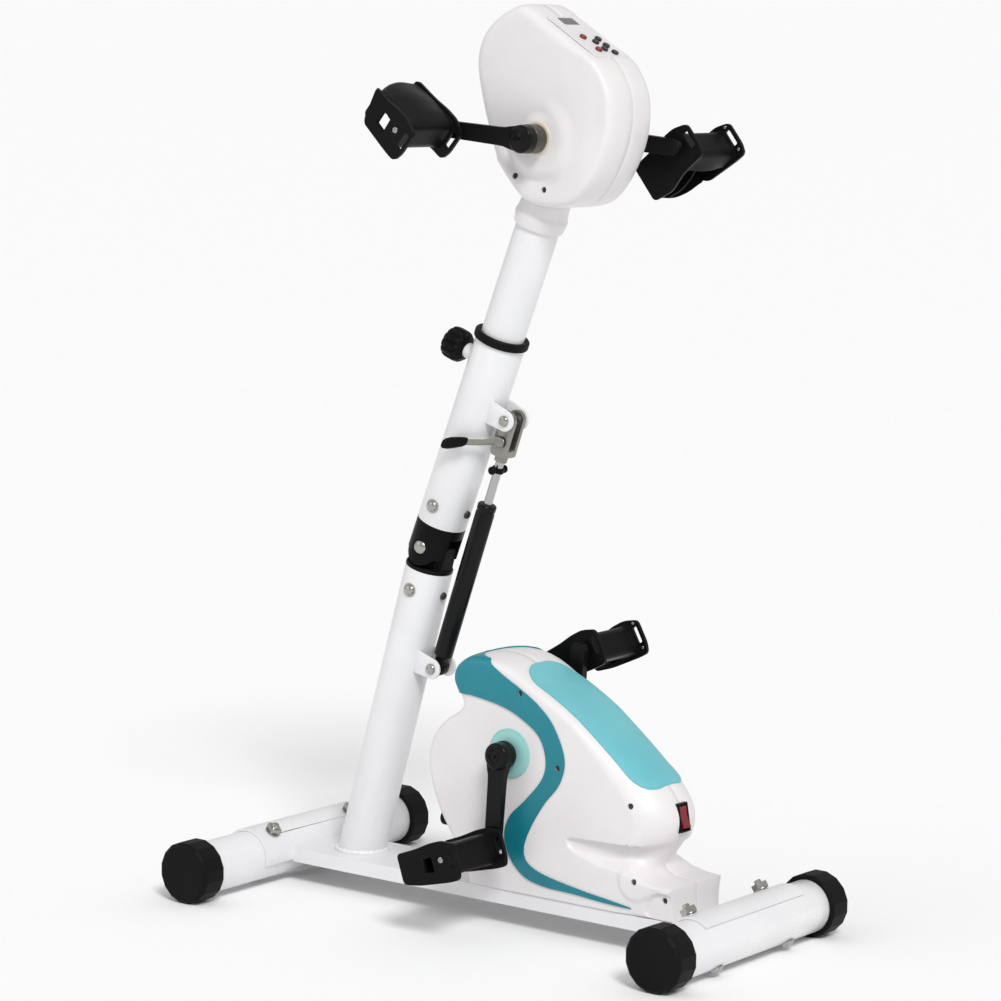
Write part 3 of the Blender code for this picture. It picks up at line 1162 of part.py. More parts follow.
FINISHES = {
    "guide": material("guide", (0.8, 0.2, 0.2), 0.5),
    "white_paint": material("white_paint", (0.86, 0.86, 0.87), 0.28),
    "white_plastic": material("white_plastic", (0.88, 0.87, 0.87), 0.32),
    "teal_plastic": material("teal_plastic", (0.02, 0.24, 0.31), 0.35),
    "light_teal_plastic": material("light_teal_plastic", (0.10, 0.50, 0.58), 0.38),
    "black_plastic": material("black_plastic", (0.018, 0.018, 0.019), 0.45),
    "black_rubber": material("black_rubber", (0.014, 0.014, 0.014), 0.7),
    "black_paint": material("black_paint", (0.012, 0.012, 0.012), 0.3),
    "black_steel": material("black_steel", (0.02, 0.02, 0.02), 0.35, 0.3),
    "dark_plastic": material("dark_plastic", (0.03, 0.03, 0.035), 0.4),
    "grey_plastic": material("grey_plastic", (0.25, 0.25, 0.26), 0.5),
    "red_plastic": material("red_plastic", (0.45, 0.01, 0.02), 0.3),
    "display": material("display", (0.16, 0.17, 0.17), 0.15),
    "steel": material("steel", (0.55, 0.55, 0.56), 0.3, 1.0),
    "zinc": material("zinc", (0.62, 0.62, 0.60), 0.35, 1.0),
    "chrome": material("chrome", (0.75, 0.75, 0.76), 0.12, 1.0),
}

build_feet()
build_frame()
build_lower_mast()
build_hinge()
build_sleeve()
build_post()
build_strut()
build_housing()
build_leg_drive()
build_head()
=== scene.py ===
import math

import bmesh
import bpy
import numpy as np
from mathutils import Matrix, Vector, geometry


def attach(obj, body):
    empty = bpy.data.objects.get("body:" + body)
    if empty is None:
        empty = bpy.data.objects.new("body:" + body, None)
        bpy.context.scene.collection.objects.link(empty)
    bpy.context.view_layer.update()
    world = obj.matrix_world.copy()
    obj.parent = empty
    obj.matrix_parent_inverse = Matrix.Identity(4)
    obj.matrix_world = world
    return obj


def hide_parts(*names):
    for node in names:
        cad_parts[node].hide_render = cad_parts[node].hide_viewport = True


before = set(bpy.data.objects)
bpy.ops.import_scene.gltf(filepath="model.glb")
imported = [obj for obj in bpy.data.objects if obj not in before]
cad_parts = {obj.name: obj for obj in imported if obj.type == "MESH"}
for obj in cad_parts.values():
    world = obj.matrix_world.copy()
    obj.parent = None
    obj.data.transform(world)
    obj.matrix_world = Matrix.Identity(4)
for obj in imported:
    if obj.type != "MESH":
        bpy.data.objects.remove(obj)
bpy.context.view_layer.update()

# Looks of the electric pedal exerciser.
# Metres; +X points to the user, -Y is the near side, the floor is Z = 0.

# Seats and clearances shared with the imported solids
GAP = 0.0003
RUN = 0.0005
X_AXIS = Vector((1, 0, 0))
Y_AXIS = Vector((0, 1, 0))
Z_AXIS = Vector((0, 0, 1))
SIDES = ((-1, "near"), (1, "far"))

# Floor frame
FOOT_X = 0.3143
FOOT_Z = 0.0355
FOOT_TUBE_R = 0.030
FOOT_TUBE_WALL = 0.0018
FOOT_HALF = {"rear": 0.2065, "front": 0.1682}
CAP_WALL = 0.004
SADDLE_OUTER = 0.0333
SADDLE_BOLT_Y = 0.070
SADDLE_BOLT_DEG = 57
RAIL_TOP = 0.0426

# Mast
PIVOT = Vector((-0.1133, 0, 0.4150))
LOWER_LEAN_DEG = 15.6
UPPER_LEAN_DEG = 20.9
MAST_R = 0.02775
MAST_WALL = 0.0025
MAST_TOP_DROP = 0.028
WELD_RIPPLES = 26
SLEEVE_R = 0.0288
SLEEVE_WALL = 0.0026
SLEEVE_START = 0.0298
SLEEVE_LENGTH = 0.2250
COLLAR_R = 0.0318
COLLAR_HEIGHT = 0.010
KNOB_ALONG = 0.2275
KNOB_BOSS_R = 0.009
KNOB_BOSS_REACH = 0.012
KNOB_R = 0.0190
KNOB_FLUTES = 12
KNOB_FLUTE_DEPTH = 0.0024
KNOB_LENGTH = 0.027
POST_R = 0.0250
POST_WALL = 0.0020
POST_START = 0.150
POST_TO_AXLE = 0.037
NECK_LENGTH = 0.050
NECK_R = 0.0300
NECK_WAIST_R = 0.0276
NECK_TO_POST_END = 0.016
CROSS_BOLT_ALONG = 0.0527
HINGE_HALF = 0.0255

# Gas strut
STRUT_LOW = Vector((-0.1043, 0, 0.2735))
STRUT_HIGH = Vector((-0.0038, 0, 0.5672))
EAR_R = 0.0120
EAR_WALL = 0.003
EAR_GAP = 0.026
STRUT_PIN_R = 0.0035
CYLINDER_R = 0.0110
CYLINDER_START = 0.0150
CYLINDER_END = 0.2065
ROD_R = 0.0050
ROD_START = 0.070
RELEASE_START = 0.266
RELEASE_HALF_WIDTH = 0.0105
RELEASE_HALF_DEPTH = 0.0110
LEVER_ALONG = 0.284
CLIP_ALONG = 0.249

# Leg drive housing
HOUSING_HALF = 0.050
HOUSING_WALL = 0.0030
HOUSING_FLOOR = 0.0433
LOW_AXLE = Vector((0.0364, 0, 0.2003))
AXLE_HOLE_R = 0.0095
NOSE_SETBACK = 0.024
SCOOP_START = 0.1155
TRIM_THICKNESS = 0.0013
TRIM_SEAT = 0.0001
BAND_RISE = 0.0012
SWITCH = Vector((0.2365, 0, 0.1484))
SWITCH_LEAN_DEG = -10
SWITCH_HALF_Y = 0.0090
SWITCH_HALF_HEIGHT = 0.0160
INLET = Vector((-0.0600, -0.026, 0.107))
INLET_NECK_R = 0.0068
HUB_DISC_R = 0.0280
BOSS_CENTRE = (0.2092, 0.0811)
BAND_SCREWS = [(0.0504, 0.2700), (0.1032, 0.1926)]
SHELL_SCREWS = [(0.2011, 0.1638), BOSS_CENTRE, (0.2470, 0.0655)]
SCREW_WELL_R = 0.0034
POCKET_CENTRE = (0.2450, 0.0540)

# Arm drive head
HEAD_HALF = 0.042
HEAD_WALL = 0.0028
HIGH_AXLE = Vector((0.0579, 0, 0.8837))
HEAD_BULGE_R = 0.0450
HEAD_BULGE_RISE = 0.0030
HEAD_SCREWS = [(0.0257, 0.8420), (0.0659, 0.8282)]
PANEL_ORIGIN = Vector((0.0537, 0, 1.0170))
PANEL_SLOPE_DEG = 31.9
PANEL_FACE = 0.0010
BUTTON_TOP = 0.0037
BUTTON_COLUMN = 0.0115

# Cranks, pedals and grips
AXLE_HALF = 0.0700
AXLE_R = 0.0080
HUB_R = 0.0155
HUB_OUTER = 0.0780
LOW_HUB_INNER = 0.058
HIGH_HUB_INNER = 0.047
ARM_INNER = 0.0655
ARM_OUTER = 0.0745
ARM_ROOT_HALF = 0.0100
ARM_TIP_HALF = 0.0080
CRANK_LENGTH = 0.102
SPINDLE_R = 0.0055
LOW_CRANK_DEG = 266.2
HIGH_CRANK_DEG = 175.4
PEDAL_INNER = 0.0785
PEDAL_OUTER = 0.1660
PEDAL_PLATE = 0.004
PEDAL_REAR = 0.0585
GRIP_INNER_REAR = 0.0615
GRIP_OUTER_REAR = 0.046
GRIP_CROWN = 0.0095

# Camera of the photograph
CAMERA_PLACE = (2.31167, -3.06551, 0.99856)
CAMERA_YAW_DEG = 37.29
CAMERA_PITCH_DEG = 7.22
CAMERA_ROLL_DEG = 0.75
FOCAL_LENGTH_PX = 3449.17
IMAGE_SIZE_PX = 1001
IMAGE_MIDDLE_PX = 500.5
OPTIC_AXIS_PX = (498.57, 468.74)
SENSOR_MM = 36

scene = bpy.context.scene


def lean(degrees):
    """Unit vector up a mast that leans towards +X."""
    angle = math.radians(degrees)
    return Vector((math.sin(angle), 0, math.cos(angle)))


def across(degrees):
    """Unit vector square to a leaning mast, on its +X side."""
    angle = math.radians(degrees)
    return Vector((math.cos(angle), 0, -math.sin(angle)))


def limited(value):
    return min(max(value, 0), 1)


def ease(low, high, value):
    """Goes smoothly from 0 at low to 1 at high."""
    share = limited((value - low) / (high - low))
    return share * share * (3 - 2 * share)


LOWER_UP = lean(LOWER_LEAN_DEG)
LOWER_ACROSS = across(LOWER_LEAN_DEG)
UPPER_UP = lean(UPPER_LEAN_DEG)
UPPER_ACROSS = across(UPPER_LEAN_DEG)
STRUT_UP = (STRUT_HIGH - STRUT_LOW).normalized()
STRUT_ACROSS = Vector((STRUT_UP.z, 0, -STRUT_UP.x))
PANEL_DOWN = across(PANEL_SLOPE_DEG)
PANEL_OUT = lean(PANEL_SLOPE_DEG)
SWITCH_UP = lean(SWITCH_LEAN_DEG)
SWITCH_OUT = across(SWITCH_LEAN_DEG)
POST_END = (HIGH_AXLE - PIVOT).dot(UPPER_UP) - POST_TO_AXLE
NECK_START = POST_END - NECK_TO_POST_END - NECK_LENGTH


# Shading nodes

FLOAT = "NodeSocketFloat"
COLOUR = "NodeSocketColor"
BEVEL_SAMPLES = 4


def put(tree, kind, values=None, **settings):
    """Adds a node; values are its inputs, by name or number."""
    made = tree.nodes.new(kind)
    for key, value in settings.items():
        setattr(made, key, value)
    for key, value in (values or {}).items():
        if isinstance(value, bpy.types.NodeSocket):
            tree.links.new(value, made.inputs[key])
        else:
            made.inputs[key].default_value = value
    return made


def maths(tree, operation, first, second, clamp=False):
    made = put(tree, "ShaderNodeMath", {0: first, 1: second}, operation=operation, use_clamp=clamp)
    return made.outputs[0]


def object_place(tree):
    return put(tree, "ShaderNodeTexCoord").outputs["Object"]


def noise(tree, place, scale, detail, roughness=0.5):
    values = {"Vector": place, "Scale": scale, "Detail": detail, "Roughness": roughness}
    return put(tree, "ShaderNodeTexNoise", values).outputs[0]


def share_between(tree, value, low, high):
    """Goes evenly from 0 at low to 1 at high."""
    return put(tree, "ShaderNodeMapRange", {"Value": value, "From Min": low, "From Max": high}).outputs[0]


def swing(tree, pattern, amount):
    """Scales a pattern about its middle."""
    return maths(tree, "MULTIPLY", maths(tree, "SUBTRACT", pattern, 0.5), amount)


def blend_colour(tree, mask, first, second):
    """Mixes two colours by a mask."""
    return put(tree, "ShaderNodeMix", {0: mask, 6: first, 7: second}, data_type="RGBA").outputs[2]


def softened_normal(tree, width):
    return put(tree, "ShaderNodeBevel", {"Radius": width}, samples=BEVEL_SAMPLES).outputs[0]


# Shared shading groups

def new_group(name, inputs, outputs):
    """Empty node group, with the sockets that it is given and those that it fills."""
    group = bpy.data.node_groups.new(name, "ShaderNodeTree")
    for label, kind, value in inputs:
        group.interface.new_socket(name=label, in_out="INPUT", socket_type=kind).default_value = value
    for label, kind in outputs:
        group.interface.new_socket(name=label, in_out="OUTPUT", socket_type=kind)
    return group, group.nodes.new("NodeGroupInput").outputs, group.nodes.new("NodeGroupOutput").inputs


def build_moulded_group():
    """Colour that drifts a little over the surface, and the fine grain of a mould or a paint."""
    group, given, result = new_group(
        "moulded_surface",
        [("Colour", COLOUR, (0.8, 0.8, 0.8, 1)), ("Shade", COLOUR, (0.7, 0.7, 0.7, 1)),
         ("Drift scale", FLOAT, 14.0), ("Grain scale", FLOAT, 900.0), ("Roughness", FLOAT, 0.4),
         ("Spread", FLOAT, 0.08)],
        [("Colour", COLOUR), ("Roughness", FLOAT), ("Height", FLOAT)])
    place = object_place(group)
    drift = noise(group, place, given["Drift scale"], 3.0)
    grain = noise(group, place, given["Grain scale"], 4.0, 0.6)
    pits = put(group, "ShaderNodeTexVoronoi", {"Vector": place, "Scale": given["Grain scale"]})
    mixed = blend_colour(group, share_between(group, drift, 0.35, 0.65), given["Colour"], given["Shade"])
    uneven = maths(group, "ADD", swing(group, drift, given["Spread"]), swing(group, grain, given["Spread"]))
    height = maths(group, "ADD", grain, maths(group, "MULTIPLY", pits.outputs["Distance"], 0.5))
    group.links.new(mixed, result["Colour"])
    group.links.new(maths(group, "ADD", given["Roughness"], uneven), result["Roughness"])
    group.links.new(height, result["Height"])
    return group


def build_edge_group():
    """Mask of the outer edges that hands and feet rub, broken up by noise."""
    group, given, result = new_group(
        "rubbed_edges", [("Width", FLOAT, 0.0015), ("Break up", FLOAT, 60.0)], [("Mask", FLOAT)])
    plain = put(group, "ShaderNodeNewGeometry").outputs["Normal"]
    turn = put(group, "ShaderNodeVectorMath", {0: softened_normal(group, given["Width"]), 1: plain},
               operation="DOT_PRODUCT")
    bent = maths(group, "MULTIPLY", maths(group, "SUBTRACT", 0.975, turn.outputs["Value"]), 6.0, clamp=True)
    patch = noise(group, object_place(group), given["Break up"], 5.0)
    spots = share_between(group, patch, 0.42, 0.62)
    group.links.new(maths(group, "MULTIPLY", bent, spots), result["Mask"])
    return group


def build_dust_group():
    """Mask of fine dust that settles on faces that look up."""
    group, given, result = new_group("settled_dust", [("Amount", FLOAT, 0.15)], [("Mask", FLOAT)])
    facing = put(group, "ShaderNodeSeparateXYZ", {0: put(group, "ShaderNodeNewGeometry").outputs["Normal"]})
    level = share_between(group, facing.outputs["Z"], 0.35, 1.0)
    patchy = maths(group, "MULTIPLY", level, noise(group, object_place(group), 35.0, 6.0))
    group.links.new(maths(group, "MULTIPLY", patchy, given["Amount"], clamp=True), result["Mask"])
    return group


def build_metal_group():
    """Tool marks of turned or drawn metal, as roughness and height."""
    group, given, result = new_group(
        "drawn_metal", [("Mark scale", FLOAT, 500.0), ("Roughness", FLOAT, 0.3)],
        [("Roughness", FLOAT), ("Height", FLOAT)])
    place = object_place(group)
    stretch = put(group, "ShaderNodeMapping", {"Vector": place, "Scale": (1.0, 0.12, 1.0)}).outputs[0]
    stain = swing(group, noise(group, place, 90.0, 4.0), 0.3)
    group.links.new(maths(group, "ADD", given["Roughness"], stain, clamp=True), result["Roughness"])
    group.links.new(noise(group, stretch, given["Mark scale"], 3.0), result["Height"])
    return group


GROUPS = {
    "moulded": build_moulded_group(),
    "edges": build_edge_group(),
    "dust": build_dust_group(),
    "metal": build_metal_group(),
}


def place_group(tree, name, values):
    return put(tree, "ShaderNodeGroup", values, node_tree=GROUPS[name])


# Materials

DUST_COLOUR = (0.55, 0.53, 0.50, 1)
COAT_ROUGHNESS = 0.12


def new_finish(name):
    """New material, its node tree and its shader."""
    made = bpy.data.materials.new(name)
    made.use_nodes = True
    return made, made.node_tree, made.node_tree.nodes["Principled BSDF"]


def cover(tree, shader, colour, grain, edge, relief, strength):
    """Gives the shader a colour and a grain's roughness and height, over softened edges."""
    values = {"Height": grain.outputs["Height"], "Normal": softened_normal(tree, edge), "Distance": relief,
              "Strength": strength}
    bump = put(tree, "ShaderNodeBump", values)
    tree.links.new(colour, shader.inputs["Base Color"])
    tree.links.new(grain.outputs["Roughness"], shader.inputs["Roughness"])
    tree.links.new(bump.outputs[0], shader.inputs["Normal"])


def moulded(name, colour, shade, roughness, spread, grain, relief, edge, dust, rub=None, coat=0.0, painted_low_shade=None,
            shine=0.5):
    """Plastic, rubber or paint: drifting colour, fine grain, softened edges, rub and dust.

    The optional painted shade below is given as a height, a second height above it and the colour below the
    first one: painted shade that darkens the part towards its bottom.
    """
    made, tree, shader = new_finish(name)
    base = (*colour, 1)
    # Painted shade: the colour darkens towards the part's bottom, by its height.
    if painted_low_shade:
        low, high, painted_shade_colour = painted_low_shade
        height = put(tree, "ShaderNodeSeparateXYZ", {0: object_place(tree)}).outputs["Z"]
        base = blend_colour(tree, share_between(tree, height, low, high), (*painted_shade_colour, 1), base)
    surface = place_group(tree, "moulded", {"Colour": base, "Shade": (*shade, 1), "Grain scale": grain,
                                            "Roughness": roughness, "Spread": spread})
    seen = surface.outputs["Colour"]
    if rub:
        worn = place_group(tree, "edges", {"Width": 0.0012})
        seen = blend_colour(tree, worn.outputs["Mask"], seen, (*rub, 1))
    if dust:
        settled = place_group(tree, "dust", {"Amount": dust})
        seen = blend_colour(tree, settled.outputs["Mask"], seen, DUST_COLOUR)
    cover(tree, shader, seen, surface, edge, relief, 0.6)
    shader.inputs["Coat Weight"].default_value = coat
    shader.inputs["Coat Roughness"].default_value = COAT_ROUGHNESS
    shader.inputs["Specular IOR Level"].default_value = shine
    return made


def bare_metal(name, colour, roughness, marks=500.0, relief=0.00001):
    """Plated or machined metal with its tool marks, faint stains and paler edges."""
    made, tree, shader = new_finish(name)
    surface = place_group(tree, "metal", {"Mark scale": marks, "Roughness": roughness})
    worn = place_group(tree, "edges", {"Width": 0.0008, "Break up": 140.0})
    pale = tuple(min(1, channel * 1.25) for channel in colour)
    seen = blend_colour(tree, worn.outputs["Mask"], (*colour, 1), (*pale, 1))
    cover(tree, shader, seen, surface, 0.0004, relief, 0.5)
    shader.inputs["Metallic"].default_value = 1.0
    return made


FINISH = {
    "white_paint": moulded("gloss_white_paint", (0.80, 0.80, 0.81), (0.76, 0.76, 0.775),
                           0.30, 0.10, 260.0, 0.00003, 0.0008, dust=0.06, coat=0.35),
    "white_plastic": moulded("warm_white_shell", (0.79, 0.765, 0.77), (0.755, 0.725, 0.735),
                             0.36, 0.10, 1400.0, 0.000015, 0.0007, dust=0.06, coat=0.12),
    # Teal band: painted shade, darker towards its bottom.
    "teal_plastic": moulded("teal_band", (0.013, 0.238, 0.300), (0.010, 0.205, 0.262),
                            0.34, 0.10, 1500.0, 0.000015, 0.0005, dust=0.015, coat=0.05, shine=0.35,
                            painted_low_shade=(0.05, 0.30, (0.005, 0.155, 0.200))),
    "light_teal_plastic": moulded("pale_teal_strip", (0.155, 0.505, 0.560), (0.130, 0.470, 0.528),
                                  0.36, 0.10, 1500.0, 0.000015, 0.0005, dust=0.03, coat=0.08, shine=0.4),
    "mint": moulded("mint_hub_disc", (0.340, 0.640, 0.610), (0.270, 0.570, 0.550),
                    0.45, 0.16, 2600.0, 0.00004, 0.0005, dust=0.05),
    "cream": moulded("cream_bearing_ring", (0.700, 0.640, 0.540), (0.600, 0.530, 0.430),
                     0.42, 0.10, 1400.0, 0.00002, 0.0004, dust=0.0),
    "olive_hub": moulded("olive_dark_hub", (0.040, 0.037, 0.022), (0.022, 0.022, 0.016),
                         0.30, 0.12, 900.0, 0.00003, 0.0004, dust=0.0, rub=(0.12, 0.11, 0.08)),
    "black_plastic": moulded("black_nylon", (0.0070, 0.0068, 0.0070), (0.0045, 0.0045, 0.0048),
                             0.36, 0.18, 1100.0, 0.00005, 0.0008, dust=0.006, rub=(0.030, 0.030, 0.031),
                             shine=0.08),
    "black_rubber": moulded("black_cap_rubber", (0.0060, 0.0058, 0.0058), (0.0085, 0.0082, 0.0080),
                            0.50, 0.16, 1600.0, 0.00006, 0.0009, dust=0.008, rub=(0.030, 0.029, 0.028),
                            shine=0.07),
    "black_paint": moulded("black_cylinder_paint", (0.0060, 0.0060, 0.0064), (0.0085, 0.0085, 0.0090),
                           0.22, 0.10, 420.0, 0.00002, 0.0005, dust=0.008, shine=0.14),
    "black_steel": moulded("black_crank_coat", (0.0060, 0.0060, 0.0063), (0.0080, 0.0080, 0.0084),
                           0.25, 0.10, 900.0, 0.00001, 0.0007, dust=0.004, rub=(0.032, 0.032, 0.034),
                           shine=0.12),
    "dark_plastic": moulded("button_black", (0.018, 0.018, 0.020), (0.012, 0.012, 0.013),
                            0.34, 0.10, 1400.0, 0.00002, 0.0004, dust=0.02),
    "grey_plastic": moulded("grey_pulley", (0.230, 0.230, 0.240), (0.180, 0.180, 0.190),
                            0.48, 0.12, 1200.0, 0.00004, 0.0005, dust=0.05),
    "red_plastic": moulded("switch_red", (0.230, 0.006, 0.014), (0.160, 0.004, 0.010),
                           0.24, 0.08, 1400.0, 0.00001, 0.0005, dust=0.0, coat=0.2),
    "screw_black": moulded("blacked_screw", (0.016, 0.015, 0.014), (0.030, 0.027, 0.022),
                           0.34, 0.16, 1400.0, 0.00003, 0.0003, dust=0.0, rub=(0.16, 0.15, 0.13)),
    "display": moulded("display_lens", (0.095, 0.105, 0.100), (0.075, 0.085, 0.082),
                       0.10, 0.04, 900.0, 0.000004, 0.0004, dust=0.02, coat=0.5),
    "steel": bare_metal("turned_steel", (0.40, 0.40, 0.41), 0.28),
    "zinc": bare_metal("zinc_plate", (0.42, 0.41, 0.39), 0.28, 350.0),
    "chrome": bare_metal("chromed_rod", (0.46, 0.46, 0.47), 0.12, 700.0, 0.000004),
    "nickel": bare_metal("nickel_head", (0.30, 0.29, 0.265), 0.34, 300.0, 0.00003),
}
for node_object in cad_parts.values():
    for material_slot in node_object.material_slots:
        slot_name = material_slot.material.name.split(".")[0]
        material_slot.material = FINISH[slot_name]


# Mesh helpers

def piece(name, shape, body, slot, replaces=(), sharp_deg=38, finish=None, flats=False):
    """Turns a bmesh, already in its place, into a piece that rides on a body; flats keep faces plane."""
    bmesh.ops.recalc_face_normals(shape, faces=shape.faces)
    mesh = bpy.data.meshes.new(name)
    shape.to_mesh(mesh)
    shape.free()
    mesh.shade_smooth()
    mesh.set_sharp_from_angle(angle=math.radians(sharp_deg))
    mesh.materials.append(FINISH[finish or slot])
    made = bpy.data.objects.new(name, mesh)
    scene.collection.objects.link(made)
    if flats:
        steady = made.modifiers.new("plane_faces", "WEIGHTED_NORMAL")
        steady.keep_sharp = True
        steady.weight = 100
    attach(made, body)
    if replaces:
        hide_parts(*replaces)
    return made


def together(*shapes):
    """Puts several shapes in one bmesh."""
    whole = bmesh.new()
    for shape in shapes:
        mesh = bpy.data.meshes.new("part")
        shape.to_mesh(mesh)
        shape.free()
        whole.from_mesh(mesh)
        bpy.data.meshes.remove(mesh)
    return whole


def guide(shape):
    """Object that holds a shape while it is combined with others."""
    bmesh.ops.recalc_face_normals(shape, faces=shape.faces)
    mesh = bpy.data.meshes.new("guide")
    shape.to_mesh(mesh)
    shape.free()
    made = bpy.data.objects.new("guide", mesh)
    scene.collection.objects.link(made)
    return made


def combined(shape, operation, *tools):
    """Exact Boolean of closed shapes, returned as a new bmesh."""
    base = guide(shape)
    helpers = [guide(tool) for tool in tools]
    for helper in helpers:
        step = base.modifiers.new("step", "BOOLEAN")
        step.operation = operation
        step.solver = "EXACT"
        step.object = helper
    view = bpy.context.evaluated_depsgraph_get()
    mesh = bpy.data.meshes.new_from_object(base.evaluated_get(view))
    result = bmesh.new()
    result.from_mesh(mesh)
    bpy.data.meshes.remove(mesh)
    for used in [base, *helpers]:
        data = used.data
        bpy.data.objects.remove(used)
        bpy.data.meshes.remove(data)
    bmesh.ops.remove_doubles(result, verts=result.verts, dist=0.000004)
    return result


def cut(shape, *tools):
    return combined(shape, "DIFFERENCE", *tools)


def joined(shape, *tools):
    return combined(shape, "UNION", *tools)


def rounded_edges(shape, width, segments, sharp_deg, only=None):
    """Bevels the sharp edges of a shape; only, if given, picks them by their middle."""
    sharp = math.radians(sharp_deg)
    edges = []
    for edge in shape.edges:
        if len(edge.link_faces) != 2 or edge.calc_face_angle(0) < sharp:
            continue
        if only is None or only((edge.verts[0].co + edge.verts[1].co) / 2):
            edges.append(edge)
    bmesh.ops.bevel(shape, geom=edges, offset=width, segments=segments, profile=0.5, affect="EDGES",
                    clamp_overlap=True)
    return shape


def skin(rings, closed=False):
    """Skins rings of equal length, and caps them or closes them on themselves."""
    shape = bmesh.new()
    rows = [[shape.verts.new(point) for point in ring] for ring in rings]
    count = len(rows[0])
    pairs = list(zip(rows[:-1], rows[1:]))
    if closed:
        pairs.append((rows[-1], rows[0]))
    for lower, upper in pairs:
        for i in range(count):
            j = (i + 1) % count
            shape.faces.new((lower[i], lower[j], upper[j], upper[i]))
    if not closed:
        shape.faces.new(rows[0])
        shape.faces.new(rows[-1])
    return shape


def turns(count):
    """Even angles round a circle."""
    return [2 * math.pi * i / count for i in range(count)]


def circle(centre, axis, side, radius, count):
    other = axis.cross(side)
    return [centre + side * (radius * math.cos(angle)) + other * (radius * math.sin(angle))
            for angle in turns(count)]


def turned(start, axis, side, profile, closed=False, count=48):
    """Solid of revolution from (distance along the axis, radius) pairs."""
    rings = [circle(start + axis * along, axis, side, radius, count) for along, radius in profile]
    return skin(rings, closed)


def bar(start, axis, side, radius, low, high, count=48):
    """Plain round bar between two distances along its axis; it also drills holes."""
    return turned(start, axis, side, [(low, radius), (high, radius)], count=count)


def soft_profile(points, radius, steps):
    """Closed outline whose corners are rounded."""
    result = []
    count = len(points)
    for i, point in enumerate(points):
        here = Vector(point)
        before = Vector(points[i - 1]) - here
        after = Vector(points[(i + 1) % count]) - here
        reach = min(radius, before.length * 0.45, after.length * 0.45)
        first = here + before.normalized() * reach
        last = here + after.normalized() * reach
        for step in range(steps + 1):
            t = step / steps
            result.append(tuple(first * (1 - t) ** 2 + here * (2 * t * (1 - t)) + last * t * t))
    return result


def frame_prism(origin, along, over, outline, low, high):
    """Extrudes (over, along) points, measured from an origin, between two Y planes."""
    return skin([[origin + over * a + along * b + Y_AXIS * y for a, b in outline] for y in (low, high)])


def block(origin, along, over, over_span, along_span, half):
    """Box between two distances over, two along and a half width in Y."""
    start, end = over_span
    low, high = along_span
    outline = [(start, low), (end, low), (end, high), (start, high)]
    return frame_prism(origin, along, over, outline, -half, half)


def plan_prism(outline, low, high):
    """Extrudes (x, y) points between two heights."""
    return skin([[Vector((x, y, z)) for x, y in outline] for z in (low, high)])


def arc(centre, radius, start_deg, end_deg, steps):
    points = []
    for i in range(steps + 1):
        angle = math.radians(start_deg + (end_deg - start_deg) * i / steps)
        points.append((centre[0] + radius * math.cos(angle), centre[1] + radius * math.sin(angle)))
    return points


def flowing(points, spacing, closed=False):
    """Smooth curve through the points, sampled at an even spacing."""
    fine = []
    count = len(points)
    spans = count if closed else count - 1
    for i in range(spans):
        around = [(i + k) % count if closed else min(max(i + k, 0), count - 1) for k in (-1, 0, 1, 2)]
        a, b, c, d = (Vector(points[index]) for index in around)
        for step in range(12):
            t = step / 12
            fine.append(0.5 * (2 * b + (c - a) * t + (2 * a - 5 * b + 4 * c - d) * t * t
                               + (3 * b - a - 3 * c + d) * t ** 3))
    fine.append(Vector(points[0 if closed else -1]))
    lengths = [0.0]
    for here, there in zip(fine[:-1], fine[1:]):
        lengths.append(lengths[-1] + (there - here).length)
    steps = max(2, round(lengths[-1] / spacing))
    result = []
    spot = 0
    for i in range(steps + (0 if closed else 1)):
        target = lengths[-1] * i / steps
        while spot < len(lengths) - 2 and lengths[spot + 1] < target:
            spot += 1
        span = max(lengths[spot + 1] - lengths[spot], 1e-12)
        share = limited((target - lengths[spot]) / span)
        result.append(tuple(fine[spot].lerp(fine[spot + 1], share)))
    return result


def eased(node, name, body, slot, width, sharp_deg=32, extra=None):
    """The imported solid's own shape, with its sharp edges rounded in the mesh."""
    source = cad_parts[node]
    shape = bmesh.new()
    shape.from_mesh(source.data)
    shape.transform(source.matrix_world)
    bmesh.ops.remove_doubles(shape, verts=shape.verts, dist=0.00001)
    bmesh.ops.dissolve_limit(shape, angle_limit=math.radians(0.8), verts=shape.verts, edges=shape.edges)
    if extra:
        shape = extra(shape)
    rounded_edges(shape, width, 2, sharp_deg)
    return piece(name, shape, body, slot, (node,), flats=True)


# Shells with a sculpted side

OUTER_NET = 0.0027
INNER_NET = 0.0060
NET_ROW = 0.866
NET_MARGIN = 0.55


def offset_ring(points, distances):
    """Moves a closed clockwise outline inwards, each point by its own distance."""
    result = []
    count = len(points)
    for i in range(count):
        here = Vector(points[i])
        before = (here - Vector(points[i - 1])).normalized()
        after = (Vector(points[(i + 1) % count]) - here).normalized()
        tangent = (before + after).normalized()
        normal = Vector((tangent.y, -tangent.x))
        stretch = max(abs(normal.dot(Vector((after.y, -after.x)))), 0.6)
        result.append(tuple(here + normal * (distances[i] / stretch)))
    return result


